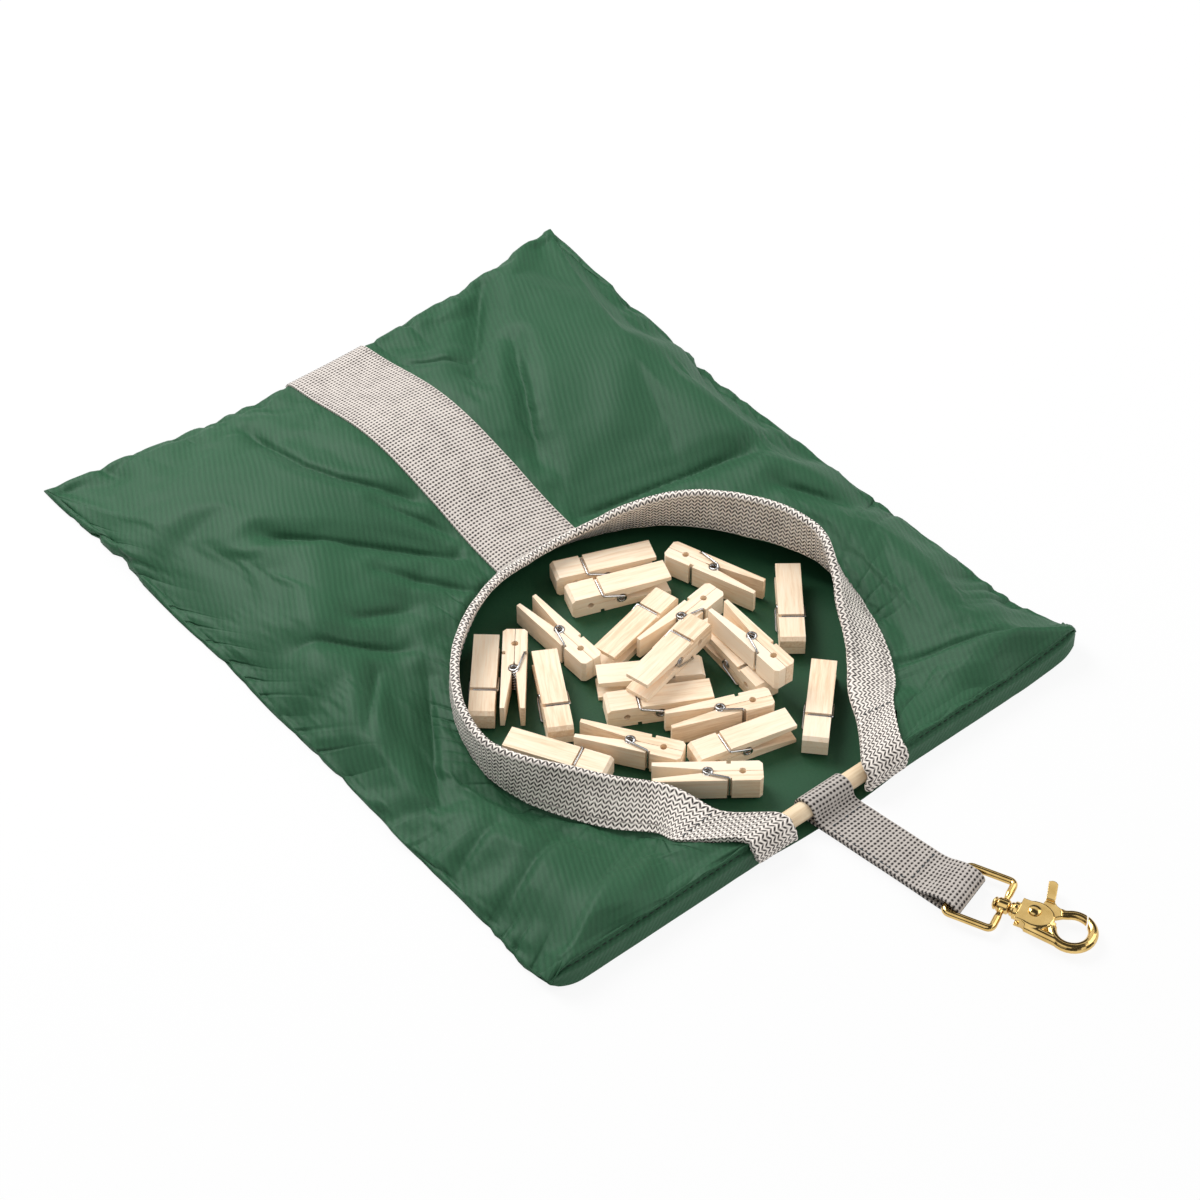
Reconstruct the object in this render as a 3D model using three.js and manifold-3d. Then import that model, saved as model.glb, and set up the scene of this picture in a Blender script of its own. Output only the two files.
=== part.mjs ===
// Peg bag: a cloth bag with a dowel in its top hem, a round mouth bound with folded webbing,
// a webbing stripe, a webbing hanger with a brass swivel snap, and the load of wooden spring pegs.
// Millimetres. The bag lies on its back: +Y runs from the bottom seam to the dowel, and +Z is up.
// The origin is the middle of the back panel's underside.

import * as THREE from "three";
import { mergeVertices } from "three/addons/utils/BufferGeometryUtils.js";
import Module from "manifold-3d";

const wasm = await Module();
wasm.setup();

// Clearances
const seatGap = 0.3; // between pieces that touch
const springBond = 0.1; // overlap that joins a spring to its peg where the peg is one node

// Cloth bag
const bagWidth = 345;
const bagLength = 434; // bottom seam to the fold over the dowel
const clothThickness = 0.8;
const bottomDrawIn = 16; // how far the bottom seam bows in at its middle
const rightDrawIn = 3; // the same on the +X side seam
const leftDrawIn = 10; // the same on the -X side seam
const bellyCrown = 14; // swell of the front panel on its longest run
const seamLift = 5; // how far the front panel stands up beside its seam
const seamReach = 9; // distance over which it stands up
const foldWidth = 13; // half the spread of a broad fold
const foldClear = 22; // distance from the seam and the stripe over which the folds fade out

// Broad folds lie across the front panel.
// from, to: plan places in hundredths of half the bag's width and length. rise: above or below the swell.
const broadFolds = [
  { from: [80, -57], to: [86, -7], rise: -3.5 },
  { from: [57, -32], to: [86, -5], rise: 3.5 },
  { from: [65, -45], to: [21, -16], rise: -3 },
  { from: [39, -74], to: [18, -34], rise: -3 },
  { from: [83, -12], to: [56, 2], rise: -3 },
  { from: [70, 12], to: [84, 44], rise: -3 },
  { from: [-63, -92], to: [-30, -60], rise: -3.5 },
  { from: [-49, -64], to: [-22, -26], rise: -2.5 },
  { from: [-22, -8], to: [-73, 5], rise: -3.5 },
  { from: [-72, -42], to: [-50, -24], rise: 2.5 },
  { from: [-71, 20], to: [-81, 34], rise: -2.5 },
];
const flapReach = 4; // how far the back panel shows past the fold under the bare dowel
const flapWidth = 120;

// Dowel and the hem that holds it
const dowelDiameter = 9.5;
const dowelInset = 9; // from the side seam to the dowel's end
const bareDowel = 58; // stretch of dowel that shows in the mouth
const sleevePlay = 0.35;
const sleeveInset = 1.5; // from the side seam to the hem's outer end

// Mouth and its binding of folded webbing
const mouthRadius = 105;
const mouthTopReach = 1; // how far the mouth's circle passes the dowel's axis
const webbingThickness = 1.3;
const bindingWidth = 25.4;
const bindingBite = 8; // cloth held inside the fold
const clothDrop = 2.5; // cloth below the binding before it turns outwards

// The binding's foot, at even turns from the -X side round the stripe to the +X side.
// reach: how far it lies outside the mouth radius. lift: its height.
// lean: degrees that the lip leans inwards.
const stationTurn = 132;
const rimStations = [
  { reach: 0, lift: 9, lean: 70 },
  { reach: -3, lift: 11, lean: 48 },
  { reach: -3, lift: 16, lean: 6 },
  { reach: -7, lift: 16, lean: -8 },
  { reach: 1, lift: 11, lean: 8 },
  { reach: 9, lift: 6, lean: 34 },
  { reach: 14, lift: 6, lean: 40 },
  { reach: 10.5, lift: 9, lean: 18 },
  { reach: 11.5, lift: 8, lean: 2 },
  { reach: 10, lift: 4.5, lean: -2 },
  { reach: 2, lift: 4.5, lean: 36 },
  { reach: -2, lift: 6, lean: 66 },
];

// Each end of the binding is stitched across, then passes over the hem and turns down round the dowel.
// out: the foot's distance from the middle. lift: its height. lipLift: the lip's height.
const endSetback = 20.6; // from the dowel's axis to the stitched line
const stitchedEnds = {
  left: { side: -1, out: 64.5, lift: 13, lipLift: 17.5, outAtDowel: 49.5 },
  right: { side: 1, out: 75, lift: 12, lipLift: 16.5, outAtDowel: 54 },
};
const endDrift = 4; // shift towards the middle as an end turns down
const endClear = 0.4; // room between an end and the hem
const endWrap = [0, 55, 108]; // degrees round the dowel from its top

// Webbing stripe down the front
const stripeWidth = 50.8;

// Hanging strap: webbing doubled back through the snap's eye and round the dowel
const strapWidth = 25.4;
const strapLayer = 1.5;
const strapReach = 81; // dowel axis to eye bar, along the strap
const strapStraight = 8; // stretch next to the dowel before the strap drifts sideways
const strapDrift = 58; // stretch over which it drifts
const strapHeading = 16; // degrees towards -X at its outer end
const strapBarSlack = 1.8; // room for the bar to lie askew in its loop
const strapTaper = 7; // stretch over which the two layers part at the outer loop

// Swivel eye
const snapHeading = 24; // degrees towards -X
const eyeWire = 3.2;
const eyeInnerWidth = 28;
const eyeLength = 24; // bar to crossbar
const eyeCornerRadius = 2.6;
const bossRadius = 3.6;
const bossLength = 6.4;

// Swivel post
const postRadius = 1.6;
const postHeadRadius = 3.2;
const postHeadHeight = 1.8;
const postTail = 3; // stretch inside the snap's neck

// Snap body, along the snap's axis from the eye bar
const neckRadius = 3.5;
const neckLength = 4;
const collarEdge = 0.6;
const collarLength = 2;
const neckRoot = 2; // stretch of the neck inside the plate
const plateHalfWidth = 8;
const plateHalfLength = 9.5;
const plateThickness = 6.4;
const plateBevel = 1;
const ringRadius = 9.8; // to the middle of the hook's bar
const hookBarRadius = 2.7;
const hookTipRadius = 2.3;
const ringFromRivet = 19.5;
const hookStart = -88; // degrees round the ring's centre
const hookTaperStart = 96;
const hookRootEnd = 100;
const hookEnd = 165;
const slotThickness = 3.2;

// Trigger and its rivet and spring
const rivetSide = -1.5; // rivet's offset from the snap's axis
const rivetRadius = 1.5;
const rivetHeadRadius = 2.6;
const rivetHeadHeight = 0.9;
const triggerThickness = 2.6;
const gateBarRadius = 2.3;
const gateStart = 212; // degrees round the ring's centre
const gateTip = 156;
const gateOverlap = 6;
const tabThickness = 5.6;
const heelDrop = 1.8; // from the rivet to the heel that the spring presses
const springFromRivet = 4.3; // the spring's offset across the snap
const triggerSpringRadius = 0.95;
const triggerSpringWire = 0.5;
const triggerSpringLength = 4;
const triggerSpringCurls = 3.5;

// Outlines about the rivet: across the snap, then along it
const slotOutline = [
  [-12.5, -4.8], [2.5, -4.8], [2.5, -6.4], [6.1, -6.4],
  [6.1, 4], [3.7, 7.5], [2.7, 12.5], [-12.5, 12.5],
];
const triggerOutline = [
  [5.65, -1.8], [5.65, 0.6], [4.3, 1.5], [3.3, 2.6], [2.6, 4], [-3.9, 12.5],
  [-8.3, 12.5], [-8.2, 9.8], [-9, 7.8], [-10.5, 6.4], [-10.5, 2], [-7.3, 1.5],
  [-5.1, 0.6], [-3.8, -0.5], [-3.4, -1.8], [-2.4, -2.9], [-1.3, -3.6], [2.5, -1.8],
];
const tabOutline = [
  [-9.8, 2], [-9.8, 6.4], [-15, 5.4], [-20, 4.2], [-20.9, 3.1],
  [-21.2, 1.9], [-20.9, 0.7], [-20, -0.6], [-15, 0.8],
];
const gateRoot = [-5.7, 11.6];

// Spring pegs
const pegLength = 54;
const pegWidth = 13;
const pegThickness = 12.5;
const pegNose = 2.5;
const pegNoseDrop = 1.7;
const jawNotchAt = 10; // distances from the jaw's tip
const springGrooveAt = 16.5;
const coilAt = 27;
const jawNotchRadius = 2.2;
const springGrooveWidth = 2.2;
const springGrooveDepth = 1.7;
const handleGapAtCoil = 1.6;
const handleGapAtEnd = 8;
const pegWire = 1.1;
const pegCoilRadius = 2.1;
const pegCoilLoops = 3;
const pegArmInset = 1.5; // from the peg's far side to the end of a spring arm

// Where the pegs lie.
// side, along: from the mouth's centre towards +X and +Y, in hundredths of the mouth's radius.
// heading: degrees of the jaw's direction. lie: which face is down.
// Working pegs have two halves and a spring; the others are one piece.
const pegLayout = [
  { name: "peg_01", side: -16.2, along: -81, heading: -22, lie: "flat", working: false },
  { name: "peg_02", side: -12.4, along: -64.9, heading: -20, lie: "flat", working: true },
  { name: "peg_03", side: -54, along: -41, heading: -71, lie: "side", working: false },
  { name: "peg_04", side: -68.6, along: -1, heading: 51, lie: "flat", working: false },
  { name: "peg_05", side: 31.4, along: -56.3, heading: 90, lie: "side", working: false },
  { name: "peg_06", side: 76.4, along: -57.8, heading: 49, lie: "flat", working: true },
  { name: "peg_07", side: 64.2, along: -50.2, heading: -130, lie: "side", working: false },
  { name: "peg_08", side: 57.3, along: -29.4, heading: 60, lie: "flat", working: false },
  { name: "peg_09", side: -1.9, along: -38.2, heading: -167, lie: "flat", working: false },
  { name: "peg_10", side: -20, along: -25.8, heading: -172, lie: "side", working: false },
  { name: "peg_12", side: 13.3, along: -9.6, heading: 148, lie: "flat", working: false },
  { name: "peg_13", side: 21, along: 5.6, heading: -29, lie: "flat", working: false },
  { name: "peg_15", side: -26.7, along: 7.5, heading: 84, lie: "flat", working: false },
  { name: "peg_16", side: -36.2, along: 56.1, heading: 43, lie: "flat", working: true },
  { name: "peg_17", side: 50.5, along: 19.9, heading: 124, lie: "side", working: false },
  { name: "peg_18", side: 80, along: 2.8, heading: 119, lie: "flat", working: true },
  { name: "peg_19", side: 4.8, along: 31.3, heading: 158, lie: "side", working: false },
  { name: "peg_20", side: 6.7, along: 49.4, heading: -14, lie: "flat", working: true },
  { name: "peg_21", side: 35.4, along: 57.7, heading: 142, lie: "side", working: false },
  { name: "peg_11", side: 4.8, along: -5.8, heading: -167, lie: "flat", working: true },
  { name: "peg_14", side: -29.5, along: 14.2, heading: 88, lie: "side", working: false },
];

// Places that follow from the sizes above
const dowelRadius = dowelDiameter / 2;
const sleeveInner = dowelRadius + sleevePlay;
const sleeveOuter = sleeveInner + clothThickness;
const dowelY = bagLength / 2 - sleeveOuter;
const strapBottom = clothThickness + seatGap;
const dowelZ = strapBottom + strapLayer + sleeveInner;
const mouthY = dowelY - mouthRadius + mouthTopReach;
const bindingSlot = clothThickness + 2 * seatGap;
const bindingHalf = bindingSlot / 2 + webbingThickness;
const seamZ = 1.5 * clothThickness + seatGap;
const hemFrontY = dowelY - sleeveOuter - seatGap;
const eyeBarRadius = eyeWire / 2;
const barHoleHalf = eyeBarRadius + seatGap;
const snapZ = strapBottom + strapLayer + barHoleHalf;
const neckStart = eyeLength + bossLength / 2 + seatGap;
const plateMiddle = neckStart + neckLength + plateHalfLength - plateBevel;
const rivetAlong = plateMiddle - plateBevel;
const ringAlong = rivetAlong + ringFromRivet;
const springSide = rivetSide + springFromRivet;
const heelAlong = rivetAlong - heelDrop;
const pegSpringSide = pegWidth / 2 + seatGap + pegWire / 2;
const pegOverallWidth = 2 * pegSpringSide + pegWire;
const pegLieHeight = { flat: pegThickness, side: pegOverallWidth };
const pegLieWidth = { flat: pegOverallWidth, side: pegThickness };

const up = new THREE.Vector3(0, 0, 1);
const radians = THREE.MathUtils.degToRad;
const lerp = THREE.MathUtils.lerp;
const clamp = THREE.MathUtils.clamp;

const finishes = {
  cloth: new THREE.MeshStandardMaterial({ color: 0x1f5a3c, roughness: 0.55, metalness: 0 }),
  webbing: new THREE.MeshStandardMaterial({ color: 0xa9a49a, roughness: 0.9, metalness: 0 }),
  dowel: new THREE.MeshStandardMaterial({ color: 0xe2c595, roughness: 0.6, metalness: 0 }),
  pegWood: new THREE.MeshStandardMaterial({ color: 0xefd3a8, roughness: 0.7, metalness: 0 }),
  brass: new THREE.MeshStandardMaterial({ color: 0xb98d45, roughness: 0.3, metalness: 1 }),
  steel: new THREE.MeshStandardMaterial({ color: 0x9ba0a6, roughness: 0.3, metalness: 1 }),
};

// Geometry helpers

function signedVolume(geometry) {
  const place = geometry.getAttribute("position");
  const index = geometry.index;
  const a = new THREE.Vector3();
  const b = new THREE.Vector3();
  const c = new THREE.Vector3();
  let sum = 0;
  for (let i = 0; i < index.count; i += 3) {
    a.fromBufferAttribute(place, index.getX(i));
    b.fromBufferAttribute(place, index.getX(i + 1));
    c.fromBufferAttribute(place, index.getX(i + 2));
    sum += a.dot(b.cross(c)) / 6;
  }
  return sum;
}

// Keeps only the places, merges shared corners and turns the faces outwards
function closed(geometry) {
  const bare = new THREE.BufferGeometry();
  bare.setAttribute("position", geometry.getAttribute("position").clone());
  bare.setIndex(geometry.index);
  const merged = mergeVertices(bare, 1e-4);
  if (signedVolume(merged) < 0) {
    const order = merged.index.array;
    for (let i = 0; i < order.length; i += 3) {
      [order[i], order[i + 1]] = [order[i + 1], order[i]];
    }
  }
  return merged;
}

function toSolid(geometry) {
  const shell = closed(geometry);
  const vertProperties = new Float32Array(shell.getAttribute("position").array);
  const triVerts = new Uint32Array(shell.index.array);
  return new wasm.Manifold(new wasm.Mesh({ numProp: 3, vertProperties, triVerts }));
}

function toGeometry(solid) {
  const mesh = solid.getMesh();
  const geometry = new THREE.BufferGeometry();
  geometry.setAttribute("position", new THREE.BufferAttribute(new Float32Array(mesh.vertProperties), 3));
  geometry.setIndex(new THREE.BufferAttribute(new Uint32Array(mesh.triVerts), 1));
  return geometry;
}

function join(...geometries) {
  const solids = geometries.map(toSolid);
  return toGeometry(solids.reduce((whole, piece) => whole.add(piece)));
}

function cut(geometry, ...tools) {
  return toGeometry(tools.map(toSolid).reduce((whole, tool) => whole.subtract(tool), toSolid(geometry)));
}

function common(geometry, tool) {
  return toGeometry(toSolid(geometry).intersect(toSolid(tool)));
}

// Skins a row of like sections; an open row is capped with the flat contour of its section
function loft(sections, contour, loop = false) {
  const sides = sections[0].length;
  const count = sections.length;
  const places = sections.flat().flatMap((point) => point.toArray());
  const index = [];
  const spans = loop ? count : count - 1;
  for (let i = 0; i < spans; i += 1) {
    for (let j = 0; j < sides; j += 1) {
      const a = i * sides + j;
      const b = i * sides + ((j + 1) % sides);
      const c = ((i + 1) % count) * sides + ((j + 1) % sides);
      const d = ((i + 1) % count) * sides + j;
      index.push(a, b, c, a, c, d);
    }
  }
  if (!loop) {
    const last = (count - 1) * sides;
    for (const [a, b, c] of THREE.ShapeUtils.triangulateShape(contour, [])) {
      index.push(c, b, a, last + a, last + b, last + c);
    }
  }
  const geometry = new THREE.BufferGeometry();
  geometry.setAttribute("position", new THREE.Float32BufferAttribute(places, 3));
  geometry.setIndex(index);
  return closed(geometry);
}

function circlePoints(sides) {
  const turn = (2 * Math.PI) / sides;
  return Array.from({ length: sides }, (_, i) => new THREE.Vector2(Math.cos(i * turn), Math.sin(i * turn)));
}

// A round bar along a path; radiusAt gives its radius from the start (0) to the end (1)
function bar(path, radiusAt, sides, loop = false) {
  const count = path.length;
  const contour = circlePoints(sides);
  const sections = [];
  let across = null;
  for (let i = 0; i < count; i += 1) {
    const before = loop ? path[(i + count - 1) % count] : path[Math.max(i - 1, 0)];
    const after = loop ? path[(i + 1) % count] : path[Math.min(i + 1, count - 1)];
    const along = after.clone().sub(before).normalize();
    const guess = across ?? (Math.abs(along.z) < 0.9 ? up : new THREE.Vector3(1, 0, 0));
    across = guess.clone().addScaledVector(along, -guess.dot(along)).normalize();
    const other = along.clone().cross(across);
    const radius = radiusAt(i / (count - 1));
    const alongAcross = (p) => path[i].clone().addScaledVector(across, p.x * radius);
    sections.push(contour.map((p) => alongAcross(p).addScaledVector(other, p.y * radius)));
  }
  return loft(sections, contour, loop);
}

function arcPath(centreX, centreY, radius, fromDegrees, toDegrees, steps) {
  return Array.from({ length: steps + 1 }, (_, i) => {
    const angle = radians(lerp(fromDegrees, toDegrees, i / steps));
    return new THREE.Vector3(centreX + radius * Math.cos(angle), centreY + radius * Math.sin(angle), 0);
  });
}

// A plate between heights -thickness / 2 and +thickness / 2
function plate(shape, thickness, curveSegments = 8) {
  const settings = { depth: thickness, bevelEnabled: false, curveSegments };
  return indexed(new THREE.ExtrudeGeometry(shape, settings).translate(0, 0, -thickness / 2));
}

function indexed(geometry) {
  const bare = new THREE.BufferGeometry();
  bare.setAttribute("position", geometry.getAttribute("position"));
  return closed(mergeVertices(bare, 1e-4));
}

function polygon(points) {
  return new THREE.Shape(points.map(([x, y]) => new THREE.Vector2(x, y)));
}

// A profile drawn as (Y, Z) and carried along X by width, about x = 0
function crosswise(shape, width, curveSegments = 8) {
  const turn = new THREE.Matrix4();
  turn.makeBasis(new THREE.Vector3(0, 1, 0), up, new THREE.Vector3(1, 0, 0));
  return plate(shape, width, curveSegments).applyMatrix4(turn);
}

// A turned piece from (radius, Y) points, starting and ending on the axis
function turned(points, segments = 16) {
  const profile = points.map(([radius, along]) => new THREE.Vector2(radius, along));
  return closed(new THREE.LatheGeometry(profile, segments));
}

// Least free distance between stretches of one wire that lie more than half a curl apart along it
function leastSelfGap(path, wire, halfCurl) {
  const run = [0];
  for (let i = 1; i < path.length; i += 1) {
    run.push(run[i - 1] + path[i].distanceTo(path[i - 1]));
  }
  let least = Infinity;
  for (let i = 0; i < path.length; i += 1) {
    for (let j = i + 1; j < path.length; j += 1) {
      if (run[j] - run[i] > halfCurl) {
        least = Math.min(least, path[i].distanceTo(path[j]) - wire);
      }
    }
  }
  return least;
}

function mesh(name, geometry, finish) {
  const piece = new THREE.Mesh(geometry, finishes[finish]);
  piece.name = name;
  return piece;
}

// Cloth: the sewn outline shared by both panels

const bow = (s) => 4 * s * (1 - s);
const bottomEdge = (s) => [
  lerp(-bagWidth / 2, bagWidth / 2, s),
  -bagLength / 2 + bottomDrawIn * bow(s),
];
const sideEdge = (side, drawIn, topY) => (s) => [
  side * (bagWidth / 2 - drawIn * bow(s)),
  lerp(-bagLength / 2, topY, s),
];

function backPanel() {
  const topY = bagLength / 2;
  const steps = 10;
  const walk = (edge) => Array.from({ length: steps }, (_, i) => edge(i / steps));
  const right = walk(sideEdge(1, rightDrawIn, topY));
  const left = walk(sideEdge(-1, leftDrawIn, topY));
  const flap = (s) => [lerp(flapWidth / 2, -flapWidth / 2, s), topY + flapReach * bow(s)];
  const top = [[bagWidth / 2, topY], ...walk(flap), [-flapWidth / 2, topY], [-bagWidth / 2, topY]];
  const outline = [...walk(bottomEdge), ...right, ...top, ...left.slice(1).reverse()];
  return plate(polygon(outline), clothThickness).translate(0, 0, clothThickness / 2);
}

// Rim: the binding's foot, the way it rises and the way it faces, by turn from the stripe

const stationCurve = new THREE.CatmullRomCurve3(
  rimStations.map(({ reach, lift, lean }) => new THREE.Vector3(reach, lift, lean)),
  false,
  "catmullrom",
);

function stationFoot(turn) {
  const values = stationCurve.getPoint(clamp((turn + stationTurn) / (2 * stationTurn), 0, 1));
  const radius = mouthRadius + values.x;
  const angle = radians(turn);
  const foot = new THREE.Vector3(radius * Math.sin(angle), mouthY - radius * Math.cos(angle), values.y);
  return { foot, lean: radians(values.z) };
}

function stationFrame(turn) {
  const step = 0.5;
  const along = stationFoot(turn + step).foot.sub(stationFoot(turn - step).foot).setZ(0).normalize();
  const outwards = new THREE.Vector3(along.y, -along.x, 0);
  const { foot, lean } = stationFoot(turn);
  const rise = up.clone().multiplyScalar(Math.cos(lean)).addScaledVector(outwards, -Math.sin(lean));
  return { foot, lip: foot.clone().addScaledVector(rise, bindingWidth) };
}

function endFrames({ side, out, lift, lipLift, outAtDowel }) {
  const stitchY = dowelY - endSetback;
  const inwards = Math.sqrt(bindingWidth ** 2 - (lipLift - lift) ** 2);
  const stitched = {
    foot: new THREE.Vector3(side * out, stitchY, lift),
    lip: new THREE.Vector3(side * (out - inwards), stitchY, lipLift),
  };
  const radius = sleeveOuter + seatGap + bindingHalf + endClear;
  const wrapped = endWrap.map((degrees) => {
    const angle = radians(degrees);
    const x = outAtDowel - (endDrift * degrees) / endWrap[endWrap.length - 1];
    const y = dowelY + radius * Math.sin(angle);
    const z = dowelZ + radius * Math.cos(angle);
    return {
      foot: new THREE.Vector3(side * x, y, z),
      lip: new THREE.Vector3(side * (x - bindingWidth), y, z),
    };
  });
  return [stitched, ...wrapped];
}

const rimStep = 12;
const stationTurns = Array.from(
  { length: (2 * stationTurn) / rimStep + 1 },
  (_, i) => i * rimStep - stationTurn,
);
const rimFrames = [
  ...endFrames(stitchedEnds.left).reverse(),
  ...stationTurns.map(stationFrame),
  ...endFrames(stitchedEnds.right),
];
const rimTurn = (rimStep * (rimFrames.length - 1)) / 2;
const footCurve = new THREE.CatmullRomCurve3(rimFrames.map(({ foot }) => foot), false, "catmullrom");
const lipCurve = new THREE.CatmullRomCurve3(rimFrames.map(({ lip }) => lip), false, "catmullrom");
const rimShare = (turn) => clamp((turn + rimTurn) / (2 * rimTurn), 0, 1);

function rimMiddle(turn) {
  return footCurve.getPoint(rimShare(turn)).add(lipCurve.getPoint(rimShare(turn))).divideScalar(2);
}

function rimAt(turn) {
  const step = 0.5;
  const foot = footCurve.getPoint(rimShare(turn));
  const rise = lipCurve.getPoint(rimShare(turn)).sub(foot).normalize();
  const along = rimMiddle(turn + step).sub(rimMiddle(turn - step)).normalize();
  const face = along.cross(rise).normalize();
  return { foot, rise, face };
}

// Broad folds of the front panel, as rises over plan places

const foldPlace = ([across, along]) => new THREE.Vector2(
  (across / 100) * (bagWidth / 2),
  (along / 100) * (bagLength / 2),
);

function foldDistance(place, start, end) {
  const whole = end.clone().sub(start);
  const share = clamp(place.clone().sub(start).dot(whole) / whole.lengthSq(), 0, 1);
  return place.distanceTo(start.clone().addScaledVector(whole, share));
}

function foldRise(x, y) {
  const place = new THREE.Vector2(x, y);
  let total = 0;
  for (const { from, to, rise } of broadFolds) {
    const distance = foldDistance(place, foldPlace(from), foldPlace(to));
    total += rise * Math.exp(-((distance / foldWidth) ** 2));
  }
  return total;
}

// Columns of the front panel run from the rim to the sewn outline; the keys fix their corners

const stripeReach = (rimStations[5].reach + rimStations[6].reach) / 2;
const stripeTurn = THREE.MathUtils.radToDeg(Math.asin(stripeWidth / 2 / (mouthRadius + stripeReach)));
const panelTurn = 147;
const cornerTurn = 126;
const sideTurn = 88;
const footTurn = 50;
const sideMiddle = 0.65;
const hemStart = 64; // where the front panel meets the hem beside the bare dowel
const hemSeamDrop = 1; // from the dowel's axis to the seam against the hem
const hemSeamZ = dowelZ - hemSeamDrop;
const stripeSteps = 4;

function panelColumns() {
  const rightEdge = sideEdge(1, rightDrawIn, hemFrontY);
  const leftEdge = sideEdge(-1, leftDrawIn, hemFrontY);
  const hemEdge = (s) => [lerp(-hemStart, -bagWidth / 2, s), hemFrontY];
  const lowShare = 0.5 - stripeWidth / 2 / bagWidth;
  const highShare = 1 - lowShare;
  const foot = (low, high) => (s) => bottomEdge(lerp(low, high, s));
  const left = (low, high) => (s) => leftEdge(lerp(low, high, s));
  const right = (low, high) => (s) => rightEdge(lerp(low, high, s));
  const mirrored = (s) => [-hemEdge(1 - s)[0], hemFrontY];
  const runs = [
    { from: -panelTurn, to: -cornerTurn, steps: 4, edge: hemEdge },
    { from: -cornerTurn, to: -sideTurn, steps: 9, edge: left(1, sideMiddle) },
    { from: -sideTurn, to: -footTurn, steps: 9, edge: left(sideMiddle, 0) },
    { from: -footTurn, to: -stripeTurn, steps: 9, edge: foot(0, lowShare) },
    { from: -stripeTurn, to: stripeTurn, steps: stripeSteps, edge: foot(lowShare, highShare) },
    { from: stripeTurn, to: footTurn, steps: 9, edge: foot(highShare, 1) },
    { from: footTurn, to: sideTurn, steps: 9, edge: right(0, sideMiddle) },
    { from: sideTurn, to: cornerTurn, steps: 7, edge: right(sideMiddle, 1) },
    { from: cornerTurn, to: panelTurn, steps: 4, edge: mirrored },
  ];
  const columns = [];
  for (const run of runs) {
    const first = columns.length === 0 ? 0 : 1;
    for (let i = first; i <= run.steps; i += 1) {
      const s = i / run.steps;
      const [x, y] = run.edge(s);
      columns.push({ turn: lerp(run.from, run.to, s), x, y });
    }
  }
  return columns;
}

const columns = panelColumns();
const panelRows = [0, 0.02, 0.09, 0.17, 0.25, 0.33, 0.41, 0.49, 0.57, 0.65, 0.73, 0.81, 0.88, 0.95, 1];
const swell = (t) => Math.sin(Math.PI * t ** 1.2) ** 2;
const rimEase = 3.5; // how soon the seam's lift is reached from the rim
const seamSwell = (fromSeam, t) => seamLift * (1 - Math.exp(-fromSeam / seamReach)) * Math.min(1, rimEase * t);
const hemRise = 4 * sleeveOuter; // stretch over which the outline rises to the hem

// Height of the outline: flat on the back panel along the sewn edges, and up against the hem
function outlineZ(y) {
  const nearHem = clamp((y - hemFrontY + hemRise) / hemRise, 0, 1);
  return lerp(seamZ, hemSeamZ, nearHem ** 2);
}

function panelColumn({ turn, x, y }) {
  const { foot, rise } = rimAt(turn);
  const start = foot.clone().addScaledVector(rise, -clothDrop);
  const end = new THREE.Vector3(x, y, outlineZ(y));
  const run = Math.hypot(end.x - start.x, end.y - start.y);
  const crown = bellyCrown * Math.sqrt(clamp(run / (bagLength / 2), 0, 1));
  const pointAt = (t) => {
    const point = start.clone().lerp(end, t);
    const fromSeam = (1 - t) * run;
    const fromStripe = Math.max(0, Math.abs(point.x) - stripeWidth / 2);
    const fade = Math.min(1, fromSeam / foldClear, fromStripe / foldClear, rimEase * t);
    point.z += crown * swell(t) + seamSwell(fromSeam, t) + fade * foldRise(point.x, point.y);
    return point;
  };
  const points = panelRows.map(pointAt);
  return [foot.clone().addScaledVector(rise, bindingBite), foot, ...points];
}

function gridNormals(grid) {
  const pick = (list, i) => list[clamp(i, 0, list.length - 1)];
  return grid.map((line, i) =>
    line.map((_, j) => {
      const along = pick(grid, i + 1)[j].clone().sub(pick(grid, i - 1)[j]);
      const out = pick(line, j + 1).clone().sub(pick(line, j - 1));
      return out.cross(along).normalize();
    }),
  );
}

// A closed sheet between two offsets from a grid of points
function sheet(grid, normals, low, high) {
  const lines = grid.length;
  const rows = grid[0].length;
  const flatGrid = grid.flat();
  const flatNormals = normals.flat();
  const offset = (d) => flatGrid.flatMap((p, i) => p.clone().addScaledVector(flatNormals[i], d).toArray());
  const places = [...offset(low), ...offset(high)];
  const lowAt = (i, j) => i * rows + j;
  const highAt = (i, j) => lines * rows + i * rows + j;
  const index = [];
  const quad = (a, b, c, d) => index.push(a, b, c, a, c, d);
  for (let i = 0; i < lines - 1; i += 1) {
    for (let j = 0; j < rows - 1; j += 1) {
      quad(highAt(i, j), highAt(i, j + 1), highAt(i + 1, j + 1), highAt(i + 1, j));
      quad(lowAt(i, j + 1), lowAt(i, j), lowAt(i + 1, j), lowAt(i + 1, j + 1));
    }
    quad(lowAt(i, 0), highAt(i, 0), highAt(i + 1, 0), lowAt(i + 1, 0));
    quad(lowAt(i, rows - 1), lowAt(i + 1, rows - 1), highAt(i + 1, rows - 1), highAt(i, rows - 1));
  }
  for (let j = 0; j < rows - 1; j += 1) {
    quad(lowAt(0, j), lowAt(0, j + 1), highAt(0, j + 1), highAt(0, j));
    quad(lowAt(lines - 1, j), highAt(lines - 1, j), highAt(lines - 1, j + 1), lowAt(lines - 1, j + 1));
  }
  const geometry = new THREE.BufferGeometry();
  geometry.setAttribute("position", new THREE.Float32BufferAttribute(places, 3));
  geometry.setIndex(index);
  return closed(geometry);
}

const panelGrid = columns.map(panelColumn);
const panelNormals = gridNormals(panelGrid);

function frontPanel() {
  return sheet(panelGrid, panelNormals, -clothThickness / 2, clothThickness / 2);
}

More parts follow.
